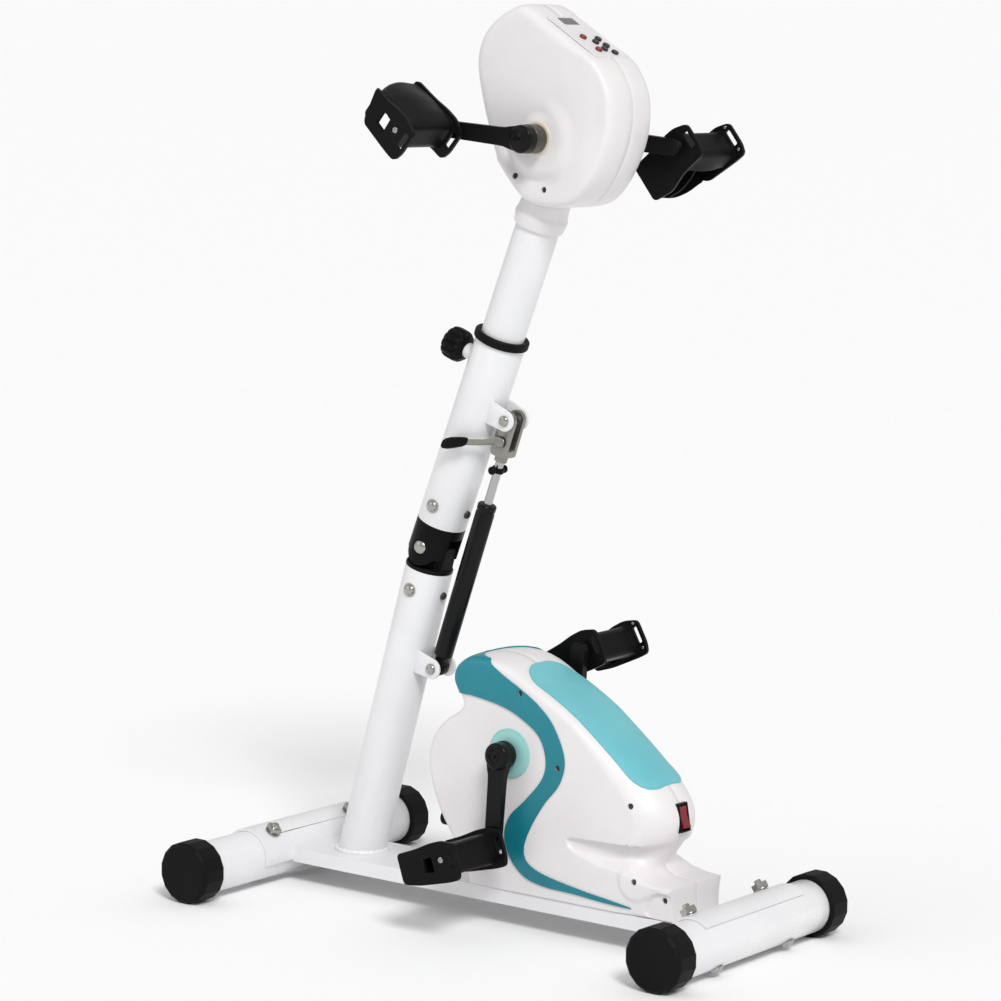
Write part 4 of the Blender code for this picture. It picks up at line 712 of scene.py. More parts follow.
def inside_net(border, spacing, rows):
    """Points of an even net inside a border, with rows of points kept along given lines."""
    edge = np.array(border)
    following = np.roll(edge, -1, axis=0)
    low = edge.min(axis=0)
    high = edge.max(axis=0)
    xs = np.arange(low[0], high[0], spacing)
    zs = np.arange(low[1], high[1], spacing * NET_ROW)
    grid = np.array([(x + (j % 2) * spacing / 2, z) for j, z in enumerate(zs) for x in xs])
    if rows:
        kept = np.array(rows)
        gaps = np.linalg.norm(grid[:, None, :] - kept[None, :, :], axis=2).min(axis=1)
        grid = np.vstack([grid[gaps > spacing * NET_MARGIN], kept])
    inside = np.zeros(len(grid), bool)
    nearest = np.full(len(grid), 1e9)
    for here, there, step in zip(edge, following, following - edge):
        crosses = (here[1] > grid[:, 1]) != (there[1] > grid[:, 1])
        if here[1] != there[1]:
            at = here[0] + (grid[:, 1] - here[1]) / (there[1] - here[1]) * (there[0] - here[0])
            inside ^= crosses & (grid[:, 0] < at)
        size = max(step @ step, 1e-12)
        share = np.clip(((grid - here) @ step) / size, 0, 1)
        nearest = np.minimum(nearest, np.linalg.norm(grid - here - share[:, None] * step, axis=1))
    return grid[inside & (nearest > spacing * NET_MARGIN)]


def fill_side(shape, ring, place, spacing, rows=()):
    """Closes a side outline with a fine net whose inner points are put in place one by one."""
    border = [(vert.co.x, vert.co.z) for vert in ring]
    flat = [Vector(point) for point in border]
    flat += [Vector(point) for point in inside_net(border, spacing, rows)]
    count = len(border)
    edges = [(i, (i + 1) % count) for i in range(count)]
    spots, _, faces, origins, _, _ = geometry.delaunay_2d_cdt(flat, edges, [], 1, 1e-7)
    verts = []
    for spot, origin in zip(spots, origins):
        known = [index for index in origin if index < count]
        verts.append(ring[known[0]] if known else shape.verts.new(place(spot.x, spot.y)))
    for face in faces:
        corners = [verts[index] for index in face]
        if len(set(corners)) == 3:
            shape.faces.new(corners)


def half_shell(outer, inner, place_outer, place_inner, rows):
    """Half shell whose two side walls are sculpted nets, joined at the middle plane."""
    shape = bmesh.new()
    outside = [[shape.verts.new(point) for point in ring] for ring in outer]
    inside = [[shape.verts.new(point) for point in ring] for ring in inner]
    count = len(outside[0])
    pairs = list(zip(outside[:-1], outside[1:])) + list(zip(inside[:-1], inside[1:]))
    pairs.append((inside[0], outside[0]))
    for a, b in pairs:
        for i in range(count):
            j = (i + 1) % count
            shape.faces.new((a[i], a[j], b[j], b[i]))
    fill_side(shape, outside[-1], place_outer, OUTER_NET, rows)
    fill_side(shape, inside[-1], place_inner, INNER_NET)
    return shape


def side_face(side, half, relief, wall=0, reach=0):
    """Places the points of a side wall; behind a relief, an inner wall keeps clear by a reach all round."""
    around = [(0, 0)]
    if reach:
        around += [(reach, 0), (-reach, 0), (0, reach), (0, -reach), (0, reach / 2)]

    def place(x, z):
        deepest = max(relief(x + dx, z + dz) for dx, dz in around)
        return Vector((x, side * (half - wall - deepest), z))
    return place


# Screws

def screw_wells(spots, half, side, relief, depth=0.0026):
    """One mesh with the recess of each screw."""
    shapes = []
    for x, z in spots:
        start = Vector((x, side * (half - relief(x, z) - depth), z))
        shapes.append(bar(start, Y_AXIS * side, X_AXIS, SCREW_WELL_R, 0, 0.012, 24))
    return together(*shapes)


def cross_screw(centre, out, side, radius, rise):
    """Pan-head screw with a cross recess."""
    profile = [(-0.0010, radius), (rise * 0.35, radius), (rise * 0.8, radius * 0.82), (rise, radius * 0.45)]
    head = turned(centre, out, side, profile, count=24)
    other = out.cross(side)
    arms = []
    for along, over in ((side, other), (other, side)):
        ring = [(-0.75, -0.14), (0.75, -0.14), (0.75, 0.14), (-0.75, 0.14)]
        rings = [[centre + along * (a * radius) + over * (b * radius) + out * h for a, b in ring]
                 for h in (rise * 0.30, rise * 1.5)]
        arms.append(skin(rings))
    return cut(head, *arms)


def build_screws(name, spots, half, side, relief, body):
    """Blacked screws, each at the bottom of its recess."""
    shapes = []
    for x, z in spots:
        seat = Vector((x, side * (half - relief(x, z) - 0.0024), z))
        shapes.append(cross_screw(seat, Y_AXIS * side, X_AXIS, 0.0030, 0.0013))
    piece(name, together(*shapes), body, "black_steel", finish="screw_black")


# Leg drive housing

def housing_outline():
    """Side view of the leg drive housing, clockwise seen from the near side."""
    floor = HOUSING_FLOOR
    shape = [(-0.0243, floor), (-0.034, 0.070), (-0.053, 0.096), (-0.068, 0.120), (-0.080, 0.150),
             (-0.0845, 0.178), (-0.078, 0.206), (-0.062, 0.226), (-0.044, 0.238), (-0.036, 0.248),
             (-0.041, 0.259), (-0.0475, 0.273), (-0.0450, 0.288), (-0.031, 0.3005), (-0.010, 0.3050),
             (0.012, 0.3040), (0.032, 0.2985), (0.046, 0.2920), (0.060, 0.2842), (0.080, 0.2747),
             (0.100, 0.2640), (0.120, 0.2520), (0.140, 0.2395), (0.160, 0.2265), (0.180, 0.2130),
             (0.200, 0.1985), (0.2125, 0.1890), (0.2215, 0.1795), (0.2295, 0.1695), (0.2359, 0.1590),
             (0.2390, 0.1480), (0.2385, 0.1360), (0.2345, 0.1235), (0.2265, 0.1110), (0.2180, 0.0985),
             (0.2165, 0.0895), (0.2300, 0.0815)]
    front = [(0.2390, 0.0808), (0.2480, 0.0802), (0.2577, 0.0795), (0.2577, 0.0700), (0.2577, 0.0600),
             (0.2577, 0.0510), (0.2577, floor)]
    base = [(x, floor) for x in (0.2350, 0.1800, 0.1200, 0.0600, 0.0100)]
    return flowing(shape, 0.0033) + front + base


HOUSING_LINE = housing_outline()
# Half width and inward step of the outline, from the middle plane to the side
HOUSING_SECTION = [(GAP / 2, 0.0006), (0.0009, 0.0), (0.008, 0.0), (0.014, 0.0001), (0.020, 0.0004),
                   (0.027, 0.0008), (0.034, 0.0014), (0.0388, 0.0021), (0.043, 0.0030), (0.0458, 0.0039),
                   (0.0478, 0.0052), (0.0491, 0.0067), (0.0498, 0.0086), (0.0500, 0.0110)]


def scoop_lines(x):
    """Heights of the scoop's upper crease and lower lip at one X."""
    crease = np.interp(
        x, [SCOOP_START, 0.1165, 0.1178, 0.1195, 0.124, 0.135, 0.162, 0.190, 0.215, 0.240, 0.260],
        [0.1130, 0.1150, 0.1163, 0.1172, 0.1178, 0.1182, 0.1186, 0.1190, 0.1200, 0.1225, 0.1240])
    lip = np.interp(
        x, [SCOOP_START, 0.1165, 0.1178, 0.1195, 0.124, 0.131, 0.145, 0.162, 0.190, 0.216, 0.260],
        [0.1126, 0.1092, 0.1065, 0.1045, 0.1015, 0.0985, 0.0942, 0.0890, 0.0865, 0.0850, 0.0850])
    return crease, lip


def housing_relief(x, z):
    """How deep the side lies under its plain face: the scoop, the corner boss and the foot's pocket."""
    crease, lip = scoop_lines(x)
    depth = 0.0
    share = (crease - z) / max(crease - lip, 0.001)
    if x > SCOOP_START and 0 < share < 1:
        full = np.interp(x, [SCOOP_START, 0.120, 0.130, 0.145, 0.165, 0.200, 0.240],
                         [0.0026, 0.0036, 0.0048, 0.0066, 0.0090, 0.0135, 0.0165])
        foot = np.interp(x, [SCOOP_START, 0.124, 0.145, 0.200], [0.0028, 0.0042, 0.0085, 0.0190])
        depth = full * ease(0, 0.0036, crease - z) * ease(0, foot, z - lip)
    boss = math.dist((x, z), BOSS_CENTRE)
    depth -= 0.0022 * (1 - ease(0.0180, 0.0240, boss)) * (1 - ease(lip - 0.004, lip + 0.010, z))
    pocket = math.hypot((x - POCKET_CENTRE[0]) / 0.0215, (z - POCKET_CENTRE[1]) / 0.0190)
    depth += 0.0036 * (1 - ease(0.93, 1.03, pocket)) * ease(0.080, 0.078, z)
    return depth


def housing_ring(y, offset, lift, side, plain=False):
    """Housing outline at one Y, drawn back at the nose.

    Its foot keeps fuller and the scoop pinches it, unless it is the plain one under the trim.
    """
    reach = abs(y) / HOUSING_HALF
    spread = []
    for x, z in HOUSING_LINE:
        foot = 0 if plain else ease(0.212, 0.232, x) * (1 - ease(0.082, 0.090, z))
        spread.append(offset * (1 - 0.72 * foot))
    ring = []
    for old, (x, z) in zip(HOUSING_LINE, offset_ring(HOUSING_LINE, spread)):
        nose = limited((x - 0.120) / 0.080)
        above = limited((z - 0.085) / 0.020)
        spot_x = x - NOSE_SETBACK * reach ** 3 * nose * above
        height = HOUSING_FLOOR + lift if old[1] < HOUSING_FLOOR + GAP else z
        depth = 0 if plain else housing_relief(spot_x, height) * reach
        ring.append(Vector((spot_x, side * (abs(y) - depth), height)))
    return ring


def scoop_rows():
    """Lines of mesh points that keep the scoop's crease and lip crisp."""
    rows = []
    for x in [0.1158, 0.1162, *np.arange(0.1168, 0.1240, 0.0009), *np.arange(0.1240, 0.207, 0.0020)]:
        crease, lip = scoop_lines(x)
        middle = (crease + lip) / 2
        for drop in (-0.0034, -0.0018, -0.0004, 0.0006, 0.0014, 0.0024, 0.0038):
            if crease - drop > middle:
                rows.append((x, crease - drop))
        for rise in (-0.0004, 0.0008, 0.0017, 0.0028, 0.0042, 0.0062, 0.0090):
            if lip + rise < middle:
                rows.append((x, lip + rise))
    return rows


def axle_drill(axle, side):
    """Hole for an axle through one half shell."""
    return bar(axle, Y_AXIS * side, X_AXIS, AXLE_HOLE_R, 0.02, 0.10)


def build_housing():
    """Two sculpted half shells with their screws and the pale discs round the axle."""
    wall = HOUSING_WALL
    inner_section = [(0.0, wall), (0.0400, wall + 0.0030), (HOUSING_HALF - wall, 0.0135)]
    screws = {"housing": (SHELL_SCREWS, HOUSING_HALF), "band": (BAND_SCREWS, HOUSING_HALF + BAND_RISE)}
    rim = HUB_DISC_R
    disc_profile = [(0, 0.0105), (0, rim), (0.0012, rim), (0.0017, rim - 0.0005), (0.0018, rim - 0.0013),
                    (0.0015, rim - 0.0017), (0.0018, rim - 0.0022), (0.0023, 0.0180), (0.0024, 0.0105)]
    for side, label in SIDES:
        out = Y_AXIS * side
        outer = [housing_ring(y, offset, 0, side) for y, offset in HOUSING_SECTION]
        inner = [housing_ring(max(y, GAP / 2), offset, wall, side) for y, offset in inner_section]
        shape = half_shell(outer, inner, side_face(side, HOUSING_HALF, housing_relief),
                           side_face(side, HOUSING_HALF, housing_relief, wall, 0.0070), scoop_rows())
        rounded_edges(shape, 0.0016, 3, 50, lambda spot: spot.x > 0.2300 and 0.050 < spot.z < 0.086)
        half_height = SWITCH_HALF_HEIGHT + GAP
        tools = [axle_drill(LOW_AXLE, side),
                 screw_wells(BAND_SCREWS + SHELL_SCREWS, HOUSING_HALF, side, housing_relief),
                 block(SWITCH, SWITCH_UP, SWITCH_OUT, (-0.0143, 0.014), (-half_height, half_height),
                       SWITCH_HALF_Y + GAP)]
        if side < 0:
            tools.append(bar(INLET - X_AXIS * 0.016, X_AXIS, Y_AXIS, INLET_NECK_R, 0, 0.032))
        shape = cut(shape, *tools)
        piece(f"{label}_housing_shell", shape, "base", "white_plastic", (f"lower_{label}_shell",), 42)
        for kind, (spots, half) in screws.items():
            build_screws(f"{label}_{kind}_screws", spots, half, side, housing_relief, "base")
        disc = turned(LOW_AXLE + out * (HOUSING_HALF + 0.0001), out, X_AXIS, disc_profile, True, 72)
        piece(f"{label}_hub_disc", disc, "base", "light_teal_plastic", finish="mint")


def lifted_solid(distance, sides):
    """Solid that follows the housing's plain skin at a distance outside it."""
    half = []
    section = [(0.0, 0.0)] + HOUSING_SECTION[2:]
    for i, (y, offset) in enumerate(section):
        if i == 0:
            run = Vector((1, 0))
        elif i == len(section) - 1:
            run = Vector((0, 1))
        else:
            run = (Vector(section[i + 1]) - Vector(section[i - 1])).normalized()
        half.append((y + run.y * distance, offset - run.x * distance))
    if len(sides) == 2:
        stations = [(y, offset, -1) for y, offset in reversed(half[1:])]
        stations += [(y, offset, 1) for y, offset in half]
    else:
        stations = [(max(y, GAP / 2), offset, sides[0]) for y, offset in half]
    return skin([housing_ring(y, offset, -distance, side, True) for y, offset, side in stations])


def band_outline():
    """S-shaped side band, clockwise seen from the near side; it runs off the housing at the top rear."""
    points = [(-0.060, 0.266), (-0.060, 0.320), (-0.010, 0.320), (0.004, 0.302), (0.018, 0.292),
              (0.034, 0.283), (0.050, 0.275), (0.076, 0.259), (0.097, 0.238), (0.112, 0.204), (0.106, 0.175),
              (0.085, 0.149), (0.066, 0.118), (0.058, 0.094), (0.064, 0.079), (0.088, 0.069), (0.140, 0.060),
              (0.176, 0.0555), (0.2067, 0.0508), (0.170, 0.0515), (0.128, 0.0545), (0.088, 0.0562),
              (0.060, 0.063), (0.040, 0.081), (0.031, 0.106), (0.038, 0.129), (0.059, 0.150), (0.082, 0.177),
              (0.087, 0.200), (0.077, 0.225), (0.050, 0.243), (0.022, 0.253), (-0.014, 0.259)]
    return flowing(points, 0.004, closed=True)


def ridge_plan():
    """Plan of the white ridge that runs back between the two side bands."""
    half = [(0.090, 0.0450), (0.050, 0.0449), (0.020, 0.0446), (0.006, 0.0440), (-0.007, 0.0400),
            (-0.018, 0.0280), (-0.026, 0.0140), (-0.030, 0)]
    line = flowing(half, 0.003)
    return line + [(x, -y) for x, y in reversed(line[:-1])]


def strip_plan():
    """Plan of the cover strip, with round corners that are wider at its upper end."""
    half = 0.0400
    points = []
    for x, radius, start in ((0.0395, 0.030, 180), (0.2190, -0.026, 90)):
        points += arc((x + radius, half - abs(radius)), abs(radius), start, start - 90, 14)
    return points + [(x, -y) for x, y in reversed(points)]


def build_trim():
    """Side bands and top strip, skinned on the housing."""
    both = (-1, 1)
    for side, label in SIDES:
        low, high = sorted((0, side * 0.1))
        face = frame_prism(Vector((0, 0, 0)), Z_AXIS, X_AXIS, band_outline(), low, high)
        band = combined(lifted_solid(GAP + TRIM_THICKNESS, [side]), "INTERSECT", face)
        wells = screw_wells(BAND_SCREWS, HOUSING_HALF + BAND_RISE, side, lambda x, z: 0)
        band = cut(band, lifted_solid(TRIM_SEAT, both), plan_prism(ridge_plan(), 0.285, 0.340), wells)
        piece(f"{label}_band_skin", band, "base", "teal_plastic", (f"{label}_side_band",), 30)
    plan = plan_prism(strip_plan(), 0.15, 0.34)
    strip = combined(lifted_solid(GAP + TRIM_THICKNESS, both), "INTERSECT", plan)
    strip = cut(strip, lifted_solid(TRIM_SEAT, both))
    piece("top_strip_skin", strip, "base", "light_teal_plastic", ("top_strip",), 30)


def build_switch():
    """Rocker switch in its bezel, and the power inlet."""
    eased("switch_frame", "switch_bezel", "base", "black_plastic", 0.0006)
    eased("rocker_switch", "switch_rocker", "rocker", "red_plastic", 0.0005)
    eased("power_inlet", "inlet_socket", "base", "black_plastic", 0.0005)


# Arm drive head

def head_outline():
    """Side view of the arm drive head, clockwise seen from the near side; it nips in above the chin."""
    points = [(0.026, 0.822), (0.012, 0.837), (0.0015, 0.8500), (-0.0040, 0.8575), (-0.0048, 0.8625),
              (-0.0082, 0.8720), (-0.017, 0.898), (-0.024, 0.922), (-0.0295, 0.946), (-0.0315, 0.967),
              (-0.027, 0.988), (-0.015, 1.006), (0.006, 1.021), (0.028, 1.0290), (0.043, 1.0240),
              (0.0537, 1.0170), (0.0778, 1.0020), (0.1035, 0.9860), (0.1277, 0.9710), (0.140, 0.957),
              (0.150, 0.937), (0.1535, 0.915), (0.1515, 0.890), (0.144, 0.866), (0.132, 0.843),
              (0.117, 0.824), (0.103, 0.813), (0.083, 0.8085), (0.056, 0.8090), (0.037, 0.8140)]
    return flowing(points, 0.0030, closed=True)


HEAD_LINE = head_outline()
# Half width and inward step of the outline, from the middle plane to the side
HEAD_SECTION = [(GAP / 2, 0.0005), (0.0008, 0.0), (0.010, 0.0), (0.020, 0.0), (0.0275, 0.0002),
                (0.0325, 0.0009), (0.0360, 0.0019), (0.0385, 0.0032), (0.0402, 0.0048), (0.0412, 0.0066),
                (0.0418, 0.0090), (0.0420, 0.0120)]


def head_relief(x, z):
    """Depth of the head's side: the round bulge at the axle, and the crease above the chin."""
    run = x - HIGH_AXLE.x
    rise = z - HIGH_AXLE.z
    reach = math.hypot(run, rise)
    angle = math.degrees(math.atan2(rise, run)) % 360
    upper = ease(35, 95, angle) * (1 - ease(150, 190, angle)) * ease(0.017, 0.030, reach)
    depth = -HEAD_BULGE_RISE * (1 - upper) * (1 - ease(HEAD_BULGE_R - 0.014, HEAD_BULGE_R + 0.005, reach))
    below = ease(176, 205, angle) * (1 - ease(278, 318, angle))
    depth += 0.0042 * below * math.exp(-((reach - 0.0455) / 0.0056) ** 2)
    depth += 0.0012 * ease(0.1150, 0.1380, x)
    return depth


def head_ring(y, offset, side):
    """Head outline at one Y, drawn back towards the sides at its front."""
    reach = abs(y) / HEAD_HALF
    ring = []
    spread = [offset * (1 - 0.42 * ease(0.085, 0.120, point[0])) for point in HEAD_LINE]
    for x, z in offset_ring(HEAD_LINE, spread):
        spot_x = x - 0.0015 * reach ** 2 * ease(0.060, 0.140, x)
        spot_y = abs(y) - head_relief(spot_x, z) * reach ** 3
        ring.append(Vector((spot_x, side * spot_y, z)))
    return ring


def build_head():
    """Sculpted head shells, their screws and the pale ring round the arm axle."""
    inner_section = [(0.0, HEAD_WALL), (0.0330, HEAD_WALL + 0.0015), (HEAD_HALF - HEAD_WALL, 0.0150)]
    points = [(-0.0006, 0.0110), (-0.0006, 0.0192), (0.0006, 0.0192), (0.0016, 0.0178), (0.0016, 0.0110)]
    ring_profile = soft_profile(points, 0.0004, 2)
    for side, label in SIDES:
        out = Y_AXIS * side
        outer = [head_ring(y, offset, side) for y, offset in HEAD_SECTION]
        inner = [head_ring(max(y, GAP / 2), offset, side) for y, offset in inner_section]
        shape = half_shell(outer, inner, side_face(side, HEAD_HALF, head_relief),
                           side_face(side, HEAD_HALF, head_relief, HEAD_WALL), [])
        neck = bar(PIVOT + UPPER_UP * (NECK_START - 0.02), UPPER_UP, UPPER_ACROSS, NECK_R + GAP,
                   0, NECK_LENGTH + 0.02 + GAP)
        window = block(PANEL_ORIGIN, PANEL_OUT, PANEL_DOWN, (0.004, 0.083), (-0.012, 0.010), 0.025)
        shape = cut(shape, axle_drill(HIGH_AXLE, side),
                    screw_wells(HEAD_SCREWS, HEAD_HALF, side, head_relief, 0.0024), neck, window)
        piece(f"{label}_head_shell", shape, "head", "white_plastic", (f"head_{label}_shell",), 42)
        build_screws(f"{label}_head_screws", HEAD_SCREWS, HEAD_HALF, side, head_relief, "head")
        ring = turned(HIGH_AXLE + out * (HEAD_HALF + HEAD_BULGE_RISE), out, X_AXIS, ring_profile, True, 64)
        piece(f"{label}_axle_ring", ring, "head", "white_plastic", finish="cream")


def build_neck():
    """Neck: a collar at its foot, a waist above it and a flare into the head."""
    bore = POST_R + GAP
    points = [(0, bore), (0, NECK_WAIST_R), (0.0022, 0.0284), (0.0110, NECK_R), (0.0140, NECK_R),
              (0.0175, 0.0288), (0.0260, 0.0277), (0.0360, NECK_WAIST_R), (NECK_LENGTH, NECK_WAIST_R),
              (NECK_LENGTH, bore)]
    start = PIVOT + UPPER_UP * NECK_START
    shape = turned(start, UPPER_UP, UPPER_ACROSS, soft_profile(points, 0.0010, 3), True, 72)
    piece("neck_skin", shape, "head", "white_plastic", ("neck_ring",), 50)
    foot = PIVOT + UPPER_UP * POST_START
    tube = pipe(foot, UPPER_UP, UPPER_ACROSS, POST_END - POST_START, POST_R, POST_WALL)
    piece("head_tube_skin", tube, "head", "white_paint", ("head_tube",), 50)


def panel_outline(start, end, half, radius):
    """Rounded rectangle on the panel's slope, as (down, sideways) points."""
    return soft_profile([(start, -half), (end, -half), (end, half), (start, half)], radius, 6)


def panel_slab(levels):
    """Stacks panel outlines at their heights over the slope."""
    rings = []
    for outline, height in levels:
        rings.append([PANEL_ORIGIN + PANEL_DOWN * down + Y_AXIS * over + PANEL_OUT * height
                      for down, over in outline])
    return skin(rings)


def build_panel():
    """Control panel plate, display lens sunk in it, and domed buttons."""
    top = PANEL_FACE
    plate = panel_outline(0.0026, 0.0840, 0.0300, 0.0060)
    shape = panel_slab([(plate, 0.0001), (plate, top - 0.0005),
                        (panel_outline(0.0032, 0.0834, 0.0294, 0.0056), top)])
    opening = panel_outline(0.0060, 0.0200, 0.0140, 0.0022)
    shape = cut(shape, panel_slab([(opening, top - 0.0004), (opening, top + 0.0030)]))
    piece("panel_plate", shape, "head", "white_plastic", ("control_panel",), 30, flats=True)
    lens = panel_outline(0.0062, 0.0198, 0.0138, 0.0021)
    glass = panel_slab([(lens, 0.0003), (lens, top - 0.0003),
                        (panel_outline(0.0066, 0.0194, 0.0134, 0.0018), top - 0.0001)])
    piece("display_glass", glass, "head", "display", ("display_window",), 30, flats=True)

    high = BUTTON_TOP
    profile = [(-0.0015, 0.0052), (0, 0.0052), (0, 0.0042), (high - 0.0009, 0.0042), (high - 0.0004, 0.0040),
               (high - 0.0001, 0.0035), (high, 0.0026), (high - 0.0001, 0.0016), (high - 0.0002, 0.0006)]
    for label, column, along in (("start", -1, 0.046), ("stop", -1, 0.071), ("mode", 0, 0.056),
                                 ("time", 0, 0.070), ("speed_up", 1, 0.050), ("speed_down", 1, 0.063),
                                 ("direction", 1, 0.077)):
        spot = PANEL_ORIGIN + PANEL_DOWN * along + Y_AXIS * (column * BUTTON_COLUMN)
        slot = "red_plastic" if column < 0 else "dark_plastic"
        cap = turned(spot, PANEL_OUT, PANEL_DOWN, profile, count=32)
        piece(f"{label}_cap", cap, f"{label}_key", slot, (f"{label}_button",), 40)


# Mast

def pipe(start, axis, side, length, outer, wall, slope=0.0):
    """Open tube with rounded rims; its foot can be cut on a slope to meet a level plane."""
    rim = 0.0006
    corners = [(0, outer), (length, outer), (length, outer - wall), (0, outer - wall)]
    rings = []
    for along, radius in soft_profile(corners, rim, 2):
        share = slope if along < rim * 2 else 0
        ring = circle(start + axis * along, axis, side, radius, 72)
        rings.append([point + axis * (share * (point - start).dot(side)) for point in ring])
    return skin(rings, closed=True)


def pin_drill(pin, over, radius, count):
    """Hole through both ears of a strut bracket."""
    return bar(pin - Y_AXIS * EAR_GAP, Y_AXIS, over, radius, 0, 2 * EAR_GAP, count)


def ear_pair(pin, up, over, outer, wall):
    """Two bracket ears with pin holes, rounded along their edges, that end inside the tube's wall."""
    mid = EAR_GAP / 2 + EAR_WALL / 2
    root = (math.sqrt(outer ** 2 - mid ** 2) + math.sqrt((outer - wall) ** 2 - mid ** 2)) / 2
    reach = (pin - PIVOT).dot(over) - root
    ears = []
    for side in (-1, 1):
        low, high = sorted((side * EAR_GAP / 2, side * (EAR_GAP / 2 + EAR_WALL)))
        outline = arc((0, 0), EAR_R, -90, 90, 24) + [(-reach, EAR_R * 1.15), (-reach, -EAR_R * 1.15)]
        ear = frame_prism(pin, up, over, outline, low, high)
        ears.append(rounded_edges(cut(ear, pin_drill(pin, over, STRUT_PIN_R + GAP, 48)), 0.0007, 2, 50))
    return ears


def weld_bead(points, radius):
    """Rippled bead along a closed line, each point with its outward direction."""
    rings = []
    count = len(points)
    for i, (spot, out) in enumerate(points):
        swell = radius * (1 + 0.10 * math.cos(2 * math.pi * i * WELD_RIPPLES / count))
        rings.append([spot + out * (swell * math.cos(angle)) + Z_AXIS * (swell * math.sin(angle))
                      for angle in turns(10)])
    return skin(rings, closed=True)


def dome_bolt(centre, out, side, radius, height):
    """Dome-head bolt on a thin washer."""
    washer = 0.0008
    profile = [(0, radius * 1.28), (washer, radius * 1.28), (washer, radius)]
    for step in range(1, 8):
        angle = math.pi / 2 * step / 8
        profile.append((washer + height * math.sin(angle), radius * math.cos(angle)))
    return turned(centre, out, side, profile, count=32)


def build_mast_fasteners(label, along, up, over, radius, body):
    """The dome bolt at each side that pins the hinge block, and the black screw at the front."""
    spot = PIVOT + up * along
    bolts = [dome_bolt(spot + Y_AXIS * side * (radius - 0.0004), Y_AXIS * side, over, 0.0064, 0.0036)
             for side in (-1, 1)]
    piece(f"{label}_cross_bolts", together(*bolts), body, "zinc")
    screw = cross_screw(spot + over * (radius + 0.0010), over, Y_AXIS, 0.0046, 0.0026)
    stem = bar(spot + over * (radius - 0.0010), over, Y_AXIS, 0.0026, 0, 0.0022, 20)
    piece(f"{label}_front_screw", together(screw, stem), body, "black_steel", finish="screw_black")


def build_lower_mast():
    """Lower tube with its ears, the painted weld at its foot, cross bolts and front screw."""
    top = PIVOT - LOWER_UP * MAST_TOP_DROP
    length = (top.z - RAIL_TOP - GAP) / LOWER_UP.z
    foot = top - LOWER_UP * length
    slope = -LOWER_ACROSS.z / LOWER_UP.z
    tube = pipe(foot, LOWER_UP, LOWER_ACROSS, length, MAST_R, MAST_WALL, slope)
    line = []
    for angle in turns(160):
        outward = LOWER_ACROSS * math.cos(angle) + Y_AXIS * math.sin(angle)
        spot = foot + outward * (MAST_R + 0.0006)
        spot += LOWER_UP * (slope * (spot - foot).dot(LOWER_ACROSS))
        line.append((spot + Z_AXIS * 0.0012, outward.normalized()))
    ears = ear_pair(STRUT_LOW, LOWER_UP, LOWER_ACROSS, MAST_R, MAST_WALL)
    shape = together(tube, *ears, weld_bead(line, 0.0030))
    piece("lower_mast_skin", shape, "base", "white_paint", ("lower_mast",), 40)
    build_mast_fasteners("lower", -CROSS_BOLT_ALONG, LOWER_UP, LOWER_ACROSS, MAST_R, "base")


def build_upper_mast():
    """Sleeve with its ears and knob boss, and the rubber collar."""
    start = PIVOT + UPPER_UP * SLEEVE_START
    tube = pipe(start, UPPER_UP, UPPER_ACROSS, SLEEVE_LENGTH, SLEEVE_R, SLEEVE_WALL)
    spot = PIVOT + UPPER_UP * KNOB_ALONG
    root = SLEEVE_R - SLEEVE_WALL / 2
    end = root + KNOB_BOSS_REACH
    points = [(root, 0.0045), (root, KNOB_BOSS_R + 0.0016), (SLEEVE_R + 0.0022, KNOB_BOSS_R),
              (end, KNOB_BOSS_R), (end, 0.0045)]
    boss = turned(spot, -UPPER_ACROSS, Y_AXIS, soft_profile(points, 0.0007, 2), True, 40)
    ears = ear_pair(STRUT_HIGH, UPPER_UP, UPPER_ACROSS, SLEEVE_R, SLEEVE_WALL)
    piece("upper_sleeve_skin", together(tube, boss, *ears), "mast", "white_paint", ("upper_sleeve",), 40)
    build_mast_fasteners("upper", CROSS_BOLT_ALONG, UPPER_UP, UPPER_ACROSS, SLEEVE_R, "mast")

    seat = start + UPPER_UP * (SLEEVE_LENGTH + GAP)
    inner = POST_R + GAP
    points = [(0, inner), (0, COLLAR_R), (COLLAR_HEIGHT, COLLAR_R), (COLLAR_HEIGHT, inner)]
    collar = turned(seat, UPPER_UP, UPPER_ACROSS, soft_profile(points, 0.0040, 5), True, 72)
    piece("collar_ring", collar, "mast", "black_rubber", ("sleeve_collar",), 50)
    build_knob(spot, end + RUN)


